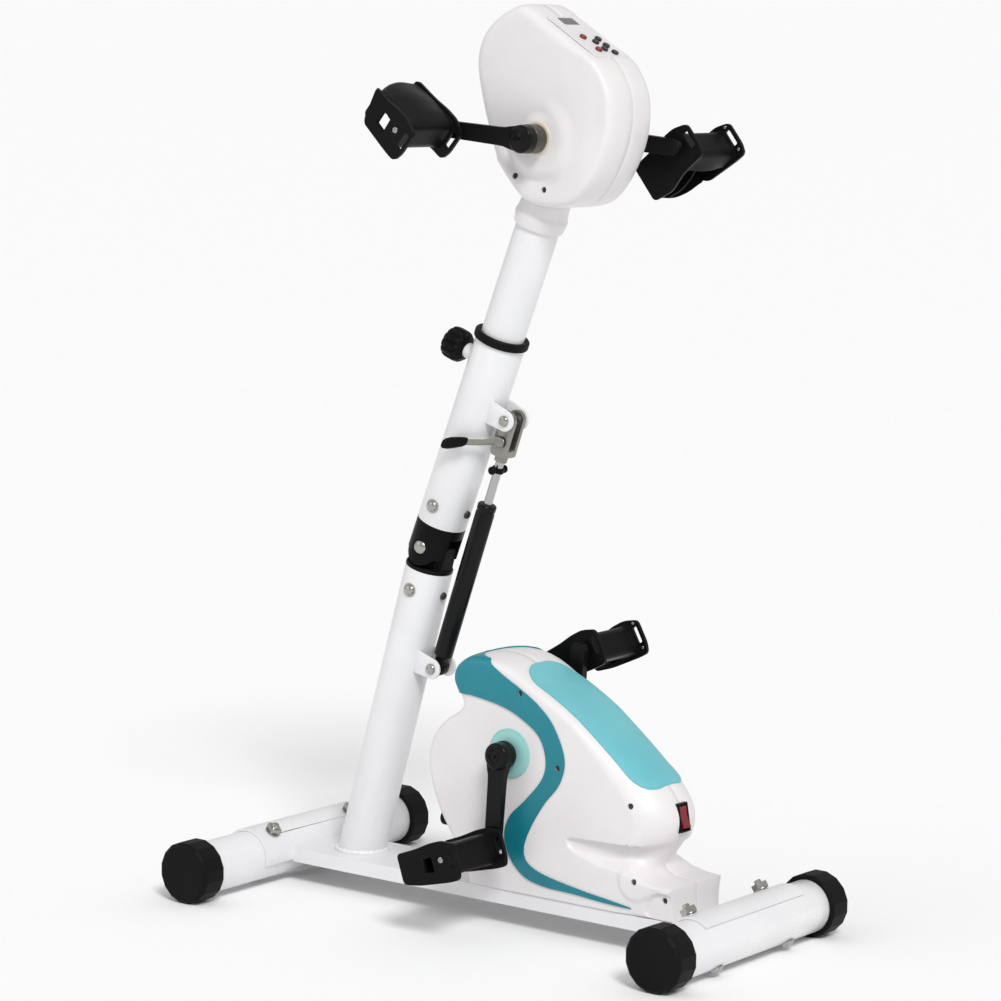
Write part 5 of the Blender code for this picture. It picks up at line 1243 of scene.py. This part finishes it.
def build_knob(spot, face):
    """Fluted locking knob behind the sleeve, with its stem."""
    out = -UPPER_ACROSS
    other = out.cross(Y_AXIS)
    end = face + KNOB_LENGTH
    # Distance from the post's axis, radius and share of the flutes' depth
    profile = [(POST_R + GAP, 0.0040, 0), (face, 0.0040, 0), (face, 0.0110, 0), (face + 0.0015, 0.0135, 0.1),
               (face + 0.0040, 0.0162, 0.4), (face + 0.0070, 0.0182, 0.9), (face + 0.0100, 0.0189, 1),
               (face + 0.0160, KNOB_R, 1), (face + 0.0215, 0.0189, 1), (face + 0.0245, 0.0180, 0.8),
               (face + 0.0262, 0.0160, 0.4), (end, 0.0130, 0.1), (end, 0.0105, 0), (end - 0.0008, 0.0100, 0),
               (end - 0.0008, 0.0030, 0)]
    rings = []
    for along, radius, fluted in profile:
        centre = spot + out * along
        ring = []
        for angle in turns(KNOB_FLUTES * 12):
            dip = max(0.0, -math.cos(KNOB_FLUTES * angle)) ** 0.7
            span = radius - fluted * KNOB_FLUTE_DEPTH * dip
            ring.append(centre + Y_AXIS * (span * math.cos(angle)) + other * (span * math.sin(angle)))
        rings.append(ring)
    piece("knob_grip", skin(rings), "knob", "black_plastic", ("lock_knob",), 45)


def with_web(shape):
    """Fills the hinge tongue below its eye."""
    outline = [(-0.0245, -0.0250), (0.0245, -0.0250), (0.0245, 0.0030), (0.0110, 0.0125), (-0.0110, 0.0125),
               (-0.0245, 0.0030)]
    web = frame_prism(PIVOT, LOWER_UP, LOWER_ACROSS, outline, -0.0104, 0.0104)
    return joined(shape, rounded_edges(web, 0.0015, 3, 30))


def build_hinge():
    """Knuckle joint between the two tubes, and its bolt with dome heads."""
    eased("lower_hinge_block", "hinge_tongue", "base", "black_plastic", 0.0007, extra=with_web)
    eased("upper_hinge_block", "hinge_knuckle", "mast", "black_plastic", 0.0009, 40)
    seat = HINGE_HALF + GAP
    profile = [(0, 0.0050), (0, 0.0083), (0.0012, 0.0083), (0.0022, 0.0078), (0.0034, 0.0064),
               (0.0042, 0.0044), (0.0045, 0.0020)]
    bolt = [turned(PIVOT + Y_AXIS * side * seat, Y_AXIS * side, UPPER_ACROSS, profile, count=40)
            for side in (-1, 1)]
    bolt.append(bar(PIVOT - Y_AXIS * seat, Y_AXIS, UPPER_ACROSS, 0.0050, 0, 2 * seat))
    piece("pivot_bolt_skin", together(*bolt), "mast", "zinc", ("pivot_bolt",), 50)


# Gas strut

def build_cylinder():
    """Cylinder with a crimped gland, and the lug at its foot."""
    start = CYLINDER_START
    end = CYLINDER_END
    radius = CYLINDER_R
    profile = [(start, 0.0060), (start, radius - 0.0014), (start + 0.0014, radius), (end - 0.0105, radius),
               (end - 0.0095, radius - 0.0007), (end - 0.0080, radius - 0.0007), (end - 0.0070, radius),
               (end - 0.0018, radius), (end - 0.0005, radius - 0.0008), (end, radius - 0.0022),
               (end, ROD_R + GAP), (end - 0.0080, ROD_R + GAP), (end - 0.0080, 0.0095),
               (start + 0.010, 0.0095), (start + 0.010, 0.0060)]
    tube = turned(STRUT_LOW, STRUT_UP, STRUT_ACROSS, profile, closed=True, count=56)
    outline = arc((0, 0), 0.0095, 125, 415, 28) + [(0.0055, start + 0.006), (-0.0055, start + 0.006)]
    lug = frame_prism(STRUT_LOW, STRUT_UP, STRUT_ACROSS, outline, -0.006, 0.006)
    lug = cut(lug, pin_drill(STRUT_LOW, STRUT_ACROSS, STRUT_PIN_R + GAP, 32))
    shape = together(tube, rounded_edges(lug, 0.0008, 2, 50))
    piece("strut_tube_skin", shape, "strut_tube", "black_paint", ("strut_cylinder",), 40)


def build_rod(lever_pin):
    """Piston and rod, and the nickel release head with its nut."""
    profile = [(ROD_START, 0.0090), (ROD_START + 0.008, 0.0090), (ROD_START + 0.008, ROD_R),
               (RELEASE_START + 0.002, ROD_R)]
    rod = turned(STRUT_LOW, STRUT_UP, STRUT_ACROSS, profile, count=48)
    piece("strut_rod_skin", rod, "strut_slider", "chrome", ("strut_rod",), 40)

    low = RELEASE_START - STRUT_UP.dot(STRUT_HIGH - STRUT_LOW)
    depth = RELEASE_HALF_DEPTH
    outline = [(-depth, low + 0.003), (-depth, 0)] + arc((0, 0), depth, 180, 0, 28)[1:-1]
    outline += [(depth, 0), (depth, low + 0.003), (depth - 0.003, low), (-depth + 0.003, low)]
    head = frame_prism(STRUT_HIGH, STRUT_UP, STRUT_ACROSS, outline, -RELEASE_HALF_WIDTH, RELEASE_HALF_WIDTH)
    eye = pin_drill(STRUT_HIGH, STRUT_ACROSS, 0.0056, 32)
    bore = bar(lever_pin - Y_AXIS * EAR_GAP, Y_AXIS, STRUT_ACROSS, 0.0033, 0, EAR_GAP, 24)
    slot = block(STRUT_HIGH, STRUT_UP, STRUT_ACROSS, (-0.02, 0.02), (low + 0.010, 0.02), 0.0058)
    head = rounded_edges(cut(head, eye, bore, slot), 0.0009, 2, 45)
    points = [(0, ROD_R), (0, 0.0083), (0.0062, 0.0083), (0.0062, ROD_R)]
    nut = turned(STRUT_LOW + STRUT_UP * (RELEASE_START - 0.0062), STRUT_UP, STRUT_ACROSS,
                 soft_profile(points, 0.0007, 2), True, 6)
    piece("release_head", together(head, nut), "strut_slider", "chrome", finish="nickel")


def build_clip():
    """Black clip on the rod, with a small knob at each side."""
    clip = STRUT_LOW + STRUT_UP * CLIP_ALONG
    inner = ROD_R + 0.0001
    profile = soft_profile([(0, inner), (0, 0.0072), (0.006, 0.0072), (0.006, inner)], 0.0006, 2)
    parts = [turned(clip - STRUT_UP * 0.003, STRUT_UP, STRUT_ACROSS, profile, True, 32)]
    knob = [(0.0060, 0.0026), (0.0085, 0.0026), (0.0088, 0.0040), (0.0100, 0.0047), (0.0122, 0.0047),
            (0.0134, 0.0038), (0.0138, 0.0020)]
    for side in (-1, 1):
        parts.append(turned(clip, Y_AXIS * side, STRUT_ACROSS, knob, count=24))
    piece("strut_clip", together(*parts), "strut_slider", "black_steel", finish="black_plastic")


def build_lever(pin):
    """Nickel arm and its rounded black grip."""
    side_y = -(RELEASE_HALF_WIDTH + GAP)
    back = -STRUT_ACROSS
    root = pin + Y_AXIS * side_y
    bend = root + back * 0.030 - Y_AXIS * 0.024 - STRUT_UP * 0.010
    grip = bend + back * 0.024 - Y_AXIS * 0.004 - STRUT_UP * 0.012
    stations = [(root - back * 0.006, 0.0030, 0.0010), (root - back * 0.004, 0.0052, 0.0015),
                (root, 0.0060, 0.0015), (root + back * 0.006, 0.0052, 0.0015),
                (root.lerp(bend, 0.5), 0.0042, 0.0014), (bend, 0.0040, 0.0013)]
    rings = []
    for centre, high, wide in stations:
        middle = centre - Y_AXIS * 0.0015
        rings.append([middle + STRUT_UP * (high * math.cos(a)) + Y_AXIS * (wide * math.sin(a))
                      for a in turns(24)])
    stub = bar(root - Y_AXIS * 0.0015, Y_AXIS, STRUT_ACROSS, 0.0030, 0, 0.008, 24)
    arm = together(skin(rings), stub)
    piece("lever_arm", arm, "lever", "black_plastic", ("release_lever",), 40, "nickel")

    rings = []
    for share, high, wide in ((-0.16, 0.0030, 0.0022), (-0.12, 0.0048, 0.0034), (0.0, 0.0060, 0.0042),
                              (0.35, 0.0070, 0.0047), (0.65, 0.0074, 0.0049), (0.88, 0.0064, 0.0044),
                              (0.97, 0.0045, 0.0032), (1.0, 0.0025, 0.0018)):
        centre = bend.lerp(grip, share) - Y_AXIS * 0.0035
        ring = []
        for a in turns(28):
            square = max(abs(math.cos(a)), abs(math.sin(a))) ** 0.35
            ring.append(centre + STRUT_UP * (high * math.cos(a) / square)
                        + Y_AXIS * (wide * math.sin(a) / square))
        rings.append(ring)
    piece("lever_grip", skin(rings), "lever", "black_plastic", sharp_deg=50)


def build_strut_pin(label, spot, over, body):
    """Pin through a bracket, with a hollow rivet head at each end."""
    seat = EAR_GAP / 2 + EAR_WALL + GAP
    parts = [bar(spot - Y_AXIS * seat, Y_AXIS, over, STRUT_PIN_R, 0, 2 * seat, 32)]
    profile = [(0, STRUT_PIN_R), (0, 0.0062), (0.0012, 0.0062), (0.0024, 0.0055), (0.0033, 0.0038),
               (0.0035, 0.0030), (0.0028, 0.0026), (0.0028, 0.0008)]
    for side in (-1, 1):
        parts.append(turned(spot + Y_AXIS * side * seat, Y_AXIS * side, over, profile, count=32))
    piece(f"{label}_strut_pin", together(*parts), body, "zinc", (f"strut_{label}_pin",), 40)


def build_strut():
    """Cylinder, rod with its release head, clip, lever and the pins at both ends."""
    lever_pin = STRUT_LOW + STRUT_UP * LEVER_ALONG
    build_cylinder()
    build_rod(lever_pin)
    build_clip()
    build_lever(lever_pin)
    build_strut_pin("lower", STRUT_LOW, LOWER_ACROSS, "base")
    build_strut_pin("upper", STRUT_HIGH, UPPER_ACROSS, "mast")


# Floor frame

def build_floor_frame():
    """Rail and saddles with soft edges, the cross tubes, caps and carriage bolts."""
    eased("base_frame", "rail_and_saddles", "base", "white_paint", 0.0011)
    for end, x in (("rear", -FOOT_X), ("front", FOOT_X)):
        centre = Vector((x, 0, FOOT_Z))
        reach = FOOT_HALF[end] - CAP_WALL - GAP
        tube = pipe(centre - Y_AXIS * reach, Y_AXIS, X_AXIS, 2 * reach, FOOT_TUBE_R, FOOT_TUBE_WALL)
        piece(f"{end}_foot_skin", tube, "base", "white_paint", (f"{end}_foot_tube",), 40)
        inwards = 1 if x < 0 else -1
        angle = math.radians(SADDLE_BOLT_DEG)
        up = Vector((inwards * math.cos(angle), 0, math.sin(angle)))
        for side, label in SIDES:
            eased(f"{end}_{label}_cap", f"{end}_{label}_foot_cap", "base", "black_rubber", 0.0009, 15)
            build_carriage_bolt(f"{end}_{label}", centre + Y_AXIS * side * SADDLE_BOLT_Y, up)


def build_carriage_bolt(label, spot, up):
    """Dome under the tube, shank, washer and square nut with a rounded end."""
    low = -(FOOT_TUBE_R + GAP)
    seat = SADDLE_OUTER + GAP
    dome = [(low, 0.0040), (low, 0.0085), (low - 0.0016, 0.0080), (low - 0.0030, 0.0066),
            (low - 0.0041, 0.0045), (low - 0.0045, 0.0020)]
    shank = [(low, 0.0040), (seat + 0.0108, 0.0040), (seat + 0.0118, 0.0032)]
    washer = [(seat, 0.0041), (seat, 0.0088), (seat + 0.0013, 0.0088), (seat + 0.0013, 0.0041)]
    corner = (Y_AXIS + up.cross(Y_AXIS) * 0.4).normalized()
    nut_ends = (seat + 0.0014, seat + 0.0078)
    nut = skin([circle(spot + up * along, up, corner, 0.0092, 4) for along in nut_ends])
    rounded_edges(nut, 0.0009, 3, 30)
    shape = together(turned(spot, up, Y_AXIS, dome, count=28), turned(spot, up, Y_AXIS, shank, count=24),
                     turned(spot, up, Y_AXIS, washer, True, 32), nut)
    piece(f"{label}_carriage_bolt", shape, "base", "zinc", (f"{label}_bolt",), 40)


# Cranks and pedals

def crank_direction(degrees):
    angle = math.radians(degrees)
    return Vector((math.cos(angle), 0, math.sin(angle)))


def build_crank(name, axle, side, degrees, hub_inner, body, sleeve_finish):
    """Hub, a rounded arm that flares into it, the spindle and a dark sleeve behind the arm."""
    out = Y_AXIS * side
    along = crank_direction(degrees)
    over = Y_AXIS.cross(along)
    end = HUB_OUTER
    profile = [(hub_inner, AXLE_R + GAP), (hub_inner, HUB_R - 0.0012), (hub_inner + 0.0010, HUB_R - 0.0003),
               (ARM_INNER - 0.001, HUB_R - 0.0003), (ARM_INNER + 0.001, HUB_R), (end - 0.0030, HUB_R),
               (end - 0.0012, HUB_R - 0.0008), (end - 0.0002, HUB_R - 0.0026), (end, HUB_R - 0.0042),
               (end, 0.0086), (end - 0.0012, 0.0080), (end - 0.0012, 0.0062), (end - 0.0002, 0.0050),
               (end - 0.0002, 0.0015), (AXLE_HALF + GAP, 0.0015), (AXLE_HALF + GAP, AXLE_R + GAP)]
    hub = turned(axle, out, along, profile, True, 64)
    low, high = sorted((side * ARM_INNER, side * ARM_OUTER))
    flare = [(0.0142, 0.0050), (0.0122, 0.0160), (0.0104, 0.0230), (ARM_ROOT_HALF, 0.0330)]
    mirrored = [(-a, b) for a, b in reversed(flare)]
    tip_arc = arc((0, CRANK_LENGTH), ARM_TIP_HALF + 0.0012, 0, 180, 20)
    outline = mirrored[-1:] + flare + tip_arc + mirrored[:-1]
    arm = rounded_edges(frame_prism(axle, along, over, outline, low, high), 0.0024, 4, 40)
    tip = PEDAL_OUTER - PEDAL_PLATE - RUN
    spindle = [(ARM_OUTER - 0.002, 0.0072), (ARM_OUTER + 0.0018, 0.0072), (ARM_OUTER + 0.0024, SPINDLE_R),
               (tip - 0.0010, SPINDLE_R), (tip, SPINDLE_R - 0.0010)]
    shape = together(hub, arm, turned(axle + along * CRANK_LENGTH, out, along, spindle, count=32))
    piece(name.replace("crank", "crank_arm"), shape, body, "black_steel", (name,), 40, flats=True)
    sleeve = [(hub_inner + 0.0002, HUB_R - 0.0002), (hub_inner + 0.0012, HUB_R + 0.0004),
              (ARM_INNER - 0.0016, HUB_R + 0.0004), (ARM_INNER - 0.0010, HUB_R - 0.0002)]
    ring = turned(axle, out, along, sleeve, True, 64)
    piece(name.replace("crank", "hub_sleeve"), ring, body, "black_steel", finish=sleeve_finish)


# Openings in the end plates, seen from the side and measured from the spindle
STRAP_SLOT = [(0.0132, -0.0115), (0.0198, -0.0115), (0.0198, 0.0082), (0.0132, 0.0082)]
PLATE_WINDOW = [(-0.0242, -0.0105), (-0.0112, -0.0118), (-0.0122, 0.0058), (-0.0242, 0.0052)]
WINDOW_RIM = [(-0.0252, -0.0116), (-0.0102, -0.0128), (-0.0112, 0.0068), (-0.0252, 0.0062)]
PLATE_SCREWS = [(0.0170, 0.0125), (0.0170, -0.0175)]


def plate_outline(rear, drop, slant):
    """Side view of an end plate: hump over the spindle, slotted nose and deep front corner."""
    points = [(-rear + slant, -0.0175 - drop), (-rear - slant * 0.4, 0.0170 + slant * 0.25),
              (-0.0300, 0.0180), (-0.0100, 0.0205), (0.0060, 0.0205), (0.0238, 0.0140), (0.0238, -0.0150),
              (0.0200, -0.0262), (0.0060, -0.0262), (-0.0130, -0.0246 - drop * 0.25),
              (-0.0360, -0.0225 - drop)]
    return soft_profile(points, 0.0052, 5)


def body_outline(rear, swell, crown, drop):
    """Section of the pedal between its plates; a crown and a drop round it for the palm."""
    points = [(-rear + 0.0040, -0.0120 - crown - drop), (-rear + 0.0040, 0.0125 + crown * 0.5),
              (-0.0300, 0.0136 + crown), (-0.0060, 0.0150 + crown * 0.6), (0.0050, 0.0146), (0.0105, 0.0100),
              (0.0108, -0.0140), (0.0080, -0.0196), (-0.0020, -0.0198 - crown * 0.4),
              (-0.0180, -0.0180 - crown - drop * 0.4), (-0.0380, -0.0160 - crown - drop)]
    grown = [(x * (1 + 0.4 * swell), z * (1 + swell)) for x, z in points]
    return soft_profile(grown, 0.0042 + crown * 0.4, 5)


def build_pedal(name, centre, side, degrees, body, inner_rear, outer_rear, crown):
    """Pedal or hand grip: slotted end plates and a waisted, ribbed body that is hollow underneath."""
    turn = Matrix.Rotation(math.radians(degrees), 2)
    out = Y_AXIS * side
    plate_inside = PEDAL_OUTER - PEDAL_PLATE
    first = PEDAL_INNER + PEDAL_PLATE / 2
    last = PEDAL_OUTER - PEDAL_PLATE / 2

    def spread(outline, y):
        """Turns an outline about the spindle and puts it at one distance from the middle."""
        ring = []
        for point in outline:
            x, z = turn @ Vector(point)
            ring.append(centre + Vector((x, side * y, z)))
        return ring

    def between(outline, low, high):
        return skin([spread(outline, low), spread(outline, high)])

    def rear_at(y):
        share = (y - PEDAL_INNER) / (PEDAL_OUTER - PEDAL_INNER)
        bow = crown * 1.2 * math.sin(math.pi * share)
        return inner_rear + (outer_rear - inner_rear) * share + bow

    def drop_at(y):
        return crown * 1.25 * (PEDAL_OUTER - y) / (PEDAL_OUTER - PEDAL_INNER)

    plates = []
    for start, slant in ((PEDAL_INNER, 0), (plate_inside, crown * 0.65)):
        ends = []
        for y in (start, start + PEDAL_PLATE):
            ends.append(spread(plate_outline(rear_at(y), drop_at(y), slant), y))
        plates.append(rounded_edges(skin(ends), 0.0010, 3, 50))
    rings = []
    for i in range(15):
        y = first + (last - first) * i / 14
        swell = 0.10 * (1 - ease(0.0, 0.016, min(y - first, last - y)))
        lift = crown * math.sin(math.pi * (y - first) / (last - first)) ** 0.7 if 0 < i < 14 else 0
        rings.append(spread(body_outline(rear_at(y), swell, lift, drop_at(y)), y))
    core = skin(rings)
    pockets = []
    shares = (0, 0.22, 1) if crown else (0, 0.22, 0.44, 0.66, 1)
    spans = ((0, -0.0100),) if crown else ((0, -0.0330), (-0.0305, -0.0100))
    bounds = [first + 0.004 + (last - first - 0.006) * share for share in shares]
    for low, high in zip(bounds[:-1], bounds[1:]):
        for start, end in spans:
            rings = []
            for y in (low + 0.0009, high - 0.0009):
                rear = start or 0.0070 - rear_at(y)
                rings.append(spread([(rear, -0.06), (end, -0.06), (end, 0.0100), (rear, 0.0100)], y))
            pockets.append(skin(rings))
    if crown == 0:
        for x in (-0.0440, -0.0350, -0.0260, -0.0170):
            rib = [(x - 0.0013, 0.0100), (x - 0.0009, 0.0150), (x + 0.0009, 0.0150), (x + 0.0013, 0.0100)]
            core = joined(core, between(rib, first + 0.012, last - 0.012))
    shape = joined(core, together(*plates))

    before = PEDAL_INNER - 0.002
    beyond = PEDAL_OUTER + 0.002
    shape = cut(shape, between(soft_profile(STRAP_SLOT, 0.0020, 3), before, beyond),
                bar(centre, out, X_AXIS, 0.0060, before, plate_inside, 32),
                bar(centre, out, X_AXIS, 0.0050, PEDAL_OUTER - 0.0016, beyond, 32), together(*pockets),
                between(soft_profile(PLATE_WINDOW, 0.0014, 2), PEDAL_OUTER - 0.0075, beyond),
                between(soft_profile(WINDOW_RIM, 0.0018, 2), PEDAL_OUTER - 0.0008, beyond))
    shown = name.replace("pedal", "pedal_moulding").replace("grip", "grip_moulding")
    piece(shown, shape, body, "black_plastic", (name,), 35, flats=True)

    screws = [cross_screw(centre + out * (PEDAL_OUTER - 0.0014), out, X_AXIS, 0.0036, 0.0014)]
    for spot in spread(PLATE_SCREWS, plate_inside):
        screws.append(cross_screw(spot, -out, X_AXIS, 0.0018, 0.0008))
    piece(shown.replace("moulding", "screws"), together(*screws), body, "black_plastic", finish="zinc")


def build_drives():
    """Cranks with pedals below and hand grips above."""
    for side, label in SIDES:
        turn = 0 if side < 0 else 180
        low = LOW_CRANK_DEG + turn
        high = HIGH_CRANK_DEG + turn
        build_crank(f"lower_{label}_crank", LOW_AXLE, side, low, LOW_HUB_INNER, "leg_crank", "black_steel")
        build_crank(f"upper_{label}_crank", HIGH_AXLE, side, high, HIGH_HUB_INNER, "arm_crank", "olive_hub")
        pedal_turn = 19 if side < 0 else 29
        grip_turn = 320 if side < 0 else 38
        build_pedal(f"lower_{label}_pedal", LOW_AXLE + crank_direction(low) * CRANK_LENGTH, side, pedal_turn,
                    f"{label}_pedal", PEDAL_REAR, PEDAL_REAR, 0)
        build_pedal(f"upper_{label}_grip", HIGH_AXLE + crank_direction(high) * CRANK_LENGTH, side, grip_turn,
                    f"{label}_grip", GRIP_INNER_REAR, GRIP_OUTER_REAR, GRIP_CROWN)


# Stage

def build_camera():
    """Camera of the photograph, in the object's own frame."""
    yaw = math.radians(CAMERA_YAW_DEG)
    pitch = math.radians(CAMERA_PITCH_DEG)
    roll = math.radians(CAMERA_ROLL_DEG)
    forward = Vector((-math.sin(yaw) * math.cos(pitch), math.cos(yaw) * math.cos(pitch), -math.sin(pitch)))
    level = Vector((math.cos(yaw), math.sin(yaw), 0))
    above = level.cross(forward)
    right = level * math.cos(roll) + above * math.sin(roll)
    up = above * math.cos(roll) - level * math.sin(roll)
    data = bpy.data.cameras.new("photo_camera")
    data.sensor_width = SENSOR_MM
    data.lens = FOCAL_LENGTH_PX / IMAGE_SIZE_PX * SENSOR_MM
    data.shift_x = (IMAGE_MIDDLE_PX - OPTIC_AXIS_PX[0]) / IMAGE_SIZE_PX
    data.shift_y = (OPTIC_AXIS_PX[1] - IMAGE_MIDDLE_PX) / IMAGE_SIZE_PX
    data.clip_end = 200
    made = bpy.data.objects.new("photo_camera", data)
    turn = Matrix((right, up, -forward)).transposed().to_4x4()
    made.matrix_world = Matrix.Translation(CAMERA_PLACE) @ turn
    scene.collection.objects.link(made)
    scene.camera = made


def soft_sun(name, spot, strength, spread_deg):
    """Even light from one side, as from a large lamp far away."""
    data = bpy.data.lights.new(name, "SUN")
    data.energy = strength
    data.angle = math.radians(spread_deg)
    made = bpy.data.objects.new(name, data)
    made.matrix_world = (-Vector(spot)).to_track_quat("-Z", "Y").to_matrix().to_4x4()
    scene.collection.objects.link(made)


def build_stage():
    """Plain pale floor, pale surroundings and soft lights."""
    shape = bmesh.new()
    bmesh.ops.create_grid(shape, x_segments=1, y_segments=1, size=150)
    mesh = bpy.data.meshes.new("studio_floor")
    shape.to_mesh(mesh)
    shape.free()
    finish, _, shader = new_finish("studio_floor")
    shader.inputs["Base Color"].default_value = (0.970, 0.970, 0.970, 1)
    shader.inputs["Roughness"].default_value = 0.9
    shader.inputs["Specular IOR Level"].default_value = 0.1
    mesh.materials.append(finish)
    floor = bpy.data.objects.new("studio_floor", mesh)
    scene.collection.objects.link(floor)
    world = bpy.data.worlds.new("studio")
    world.use_nodes = True
    tree = world.node_tree
    sky = tree.nodes["Background"]
    sky.inputs[0].default_value = (1.0, 1.0, 1.0, 1)
    seen = put(tree, "ShaderNodeLightPath").outputs["Is Camera Ray"]
    tree.links.new(maths(tree, "ADD", 0.55, maths(tree, "MULTIPLY", seen, 0.405)), sky.inputs[1])
    scene.world = world
    scene.view_settings.view_transform = "Standard"
    soft_sun("key_light", (2.0, -1.6, 2.4), 1.9, 16)
    soft_sun("left_light", (-1.8, -2.0, 1.2), 0.30, 40)


build_camera()
build_stage()
build_floor_frame()
build_lower_mast()
build_upper_mast()
build_hinge()
build_neck()
build_strut()
build_housing()
build_trim()
build_switch()
build_drives()
build_head()
build_panel()
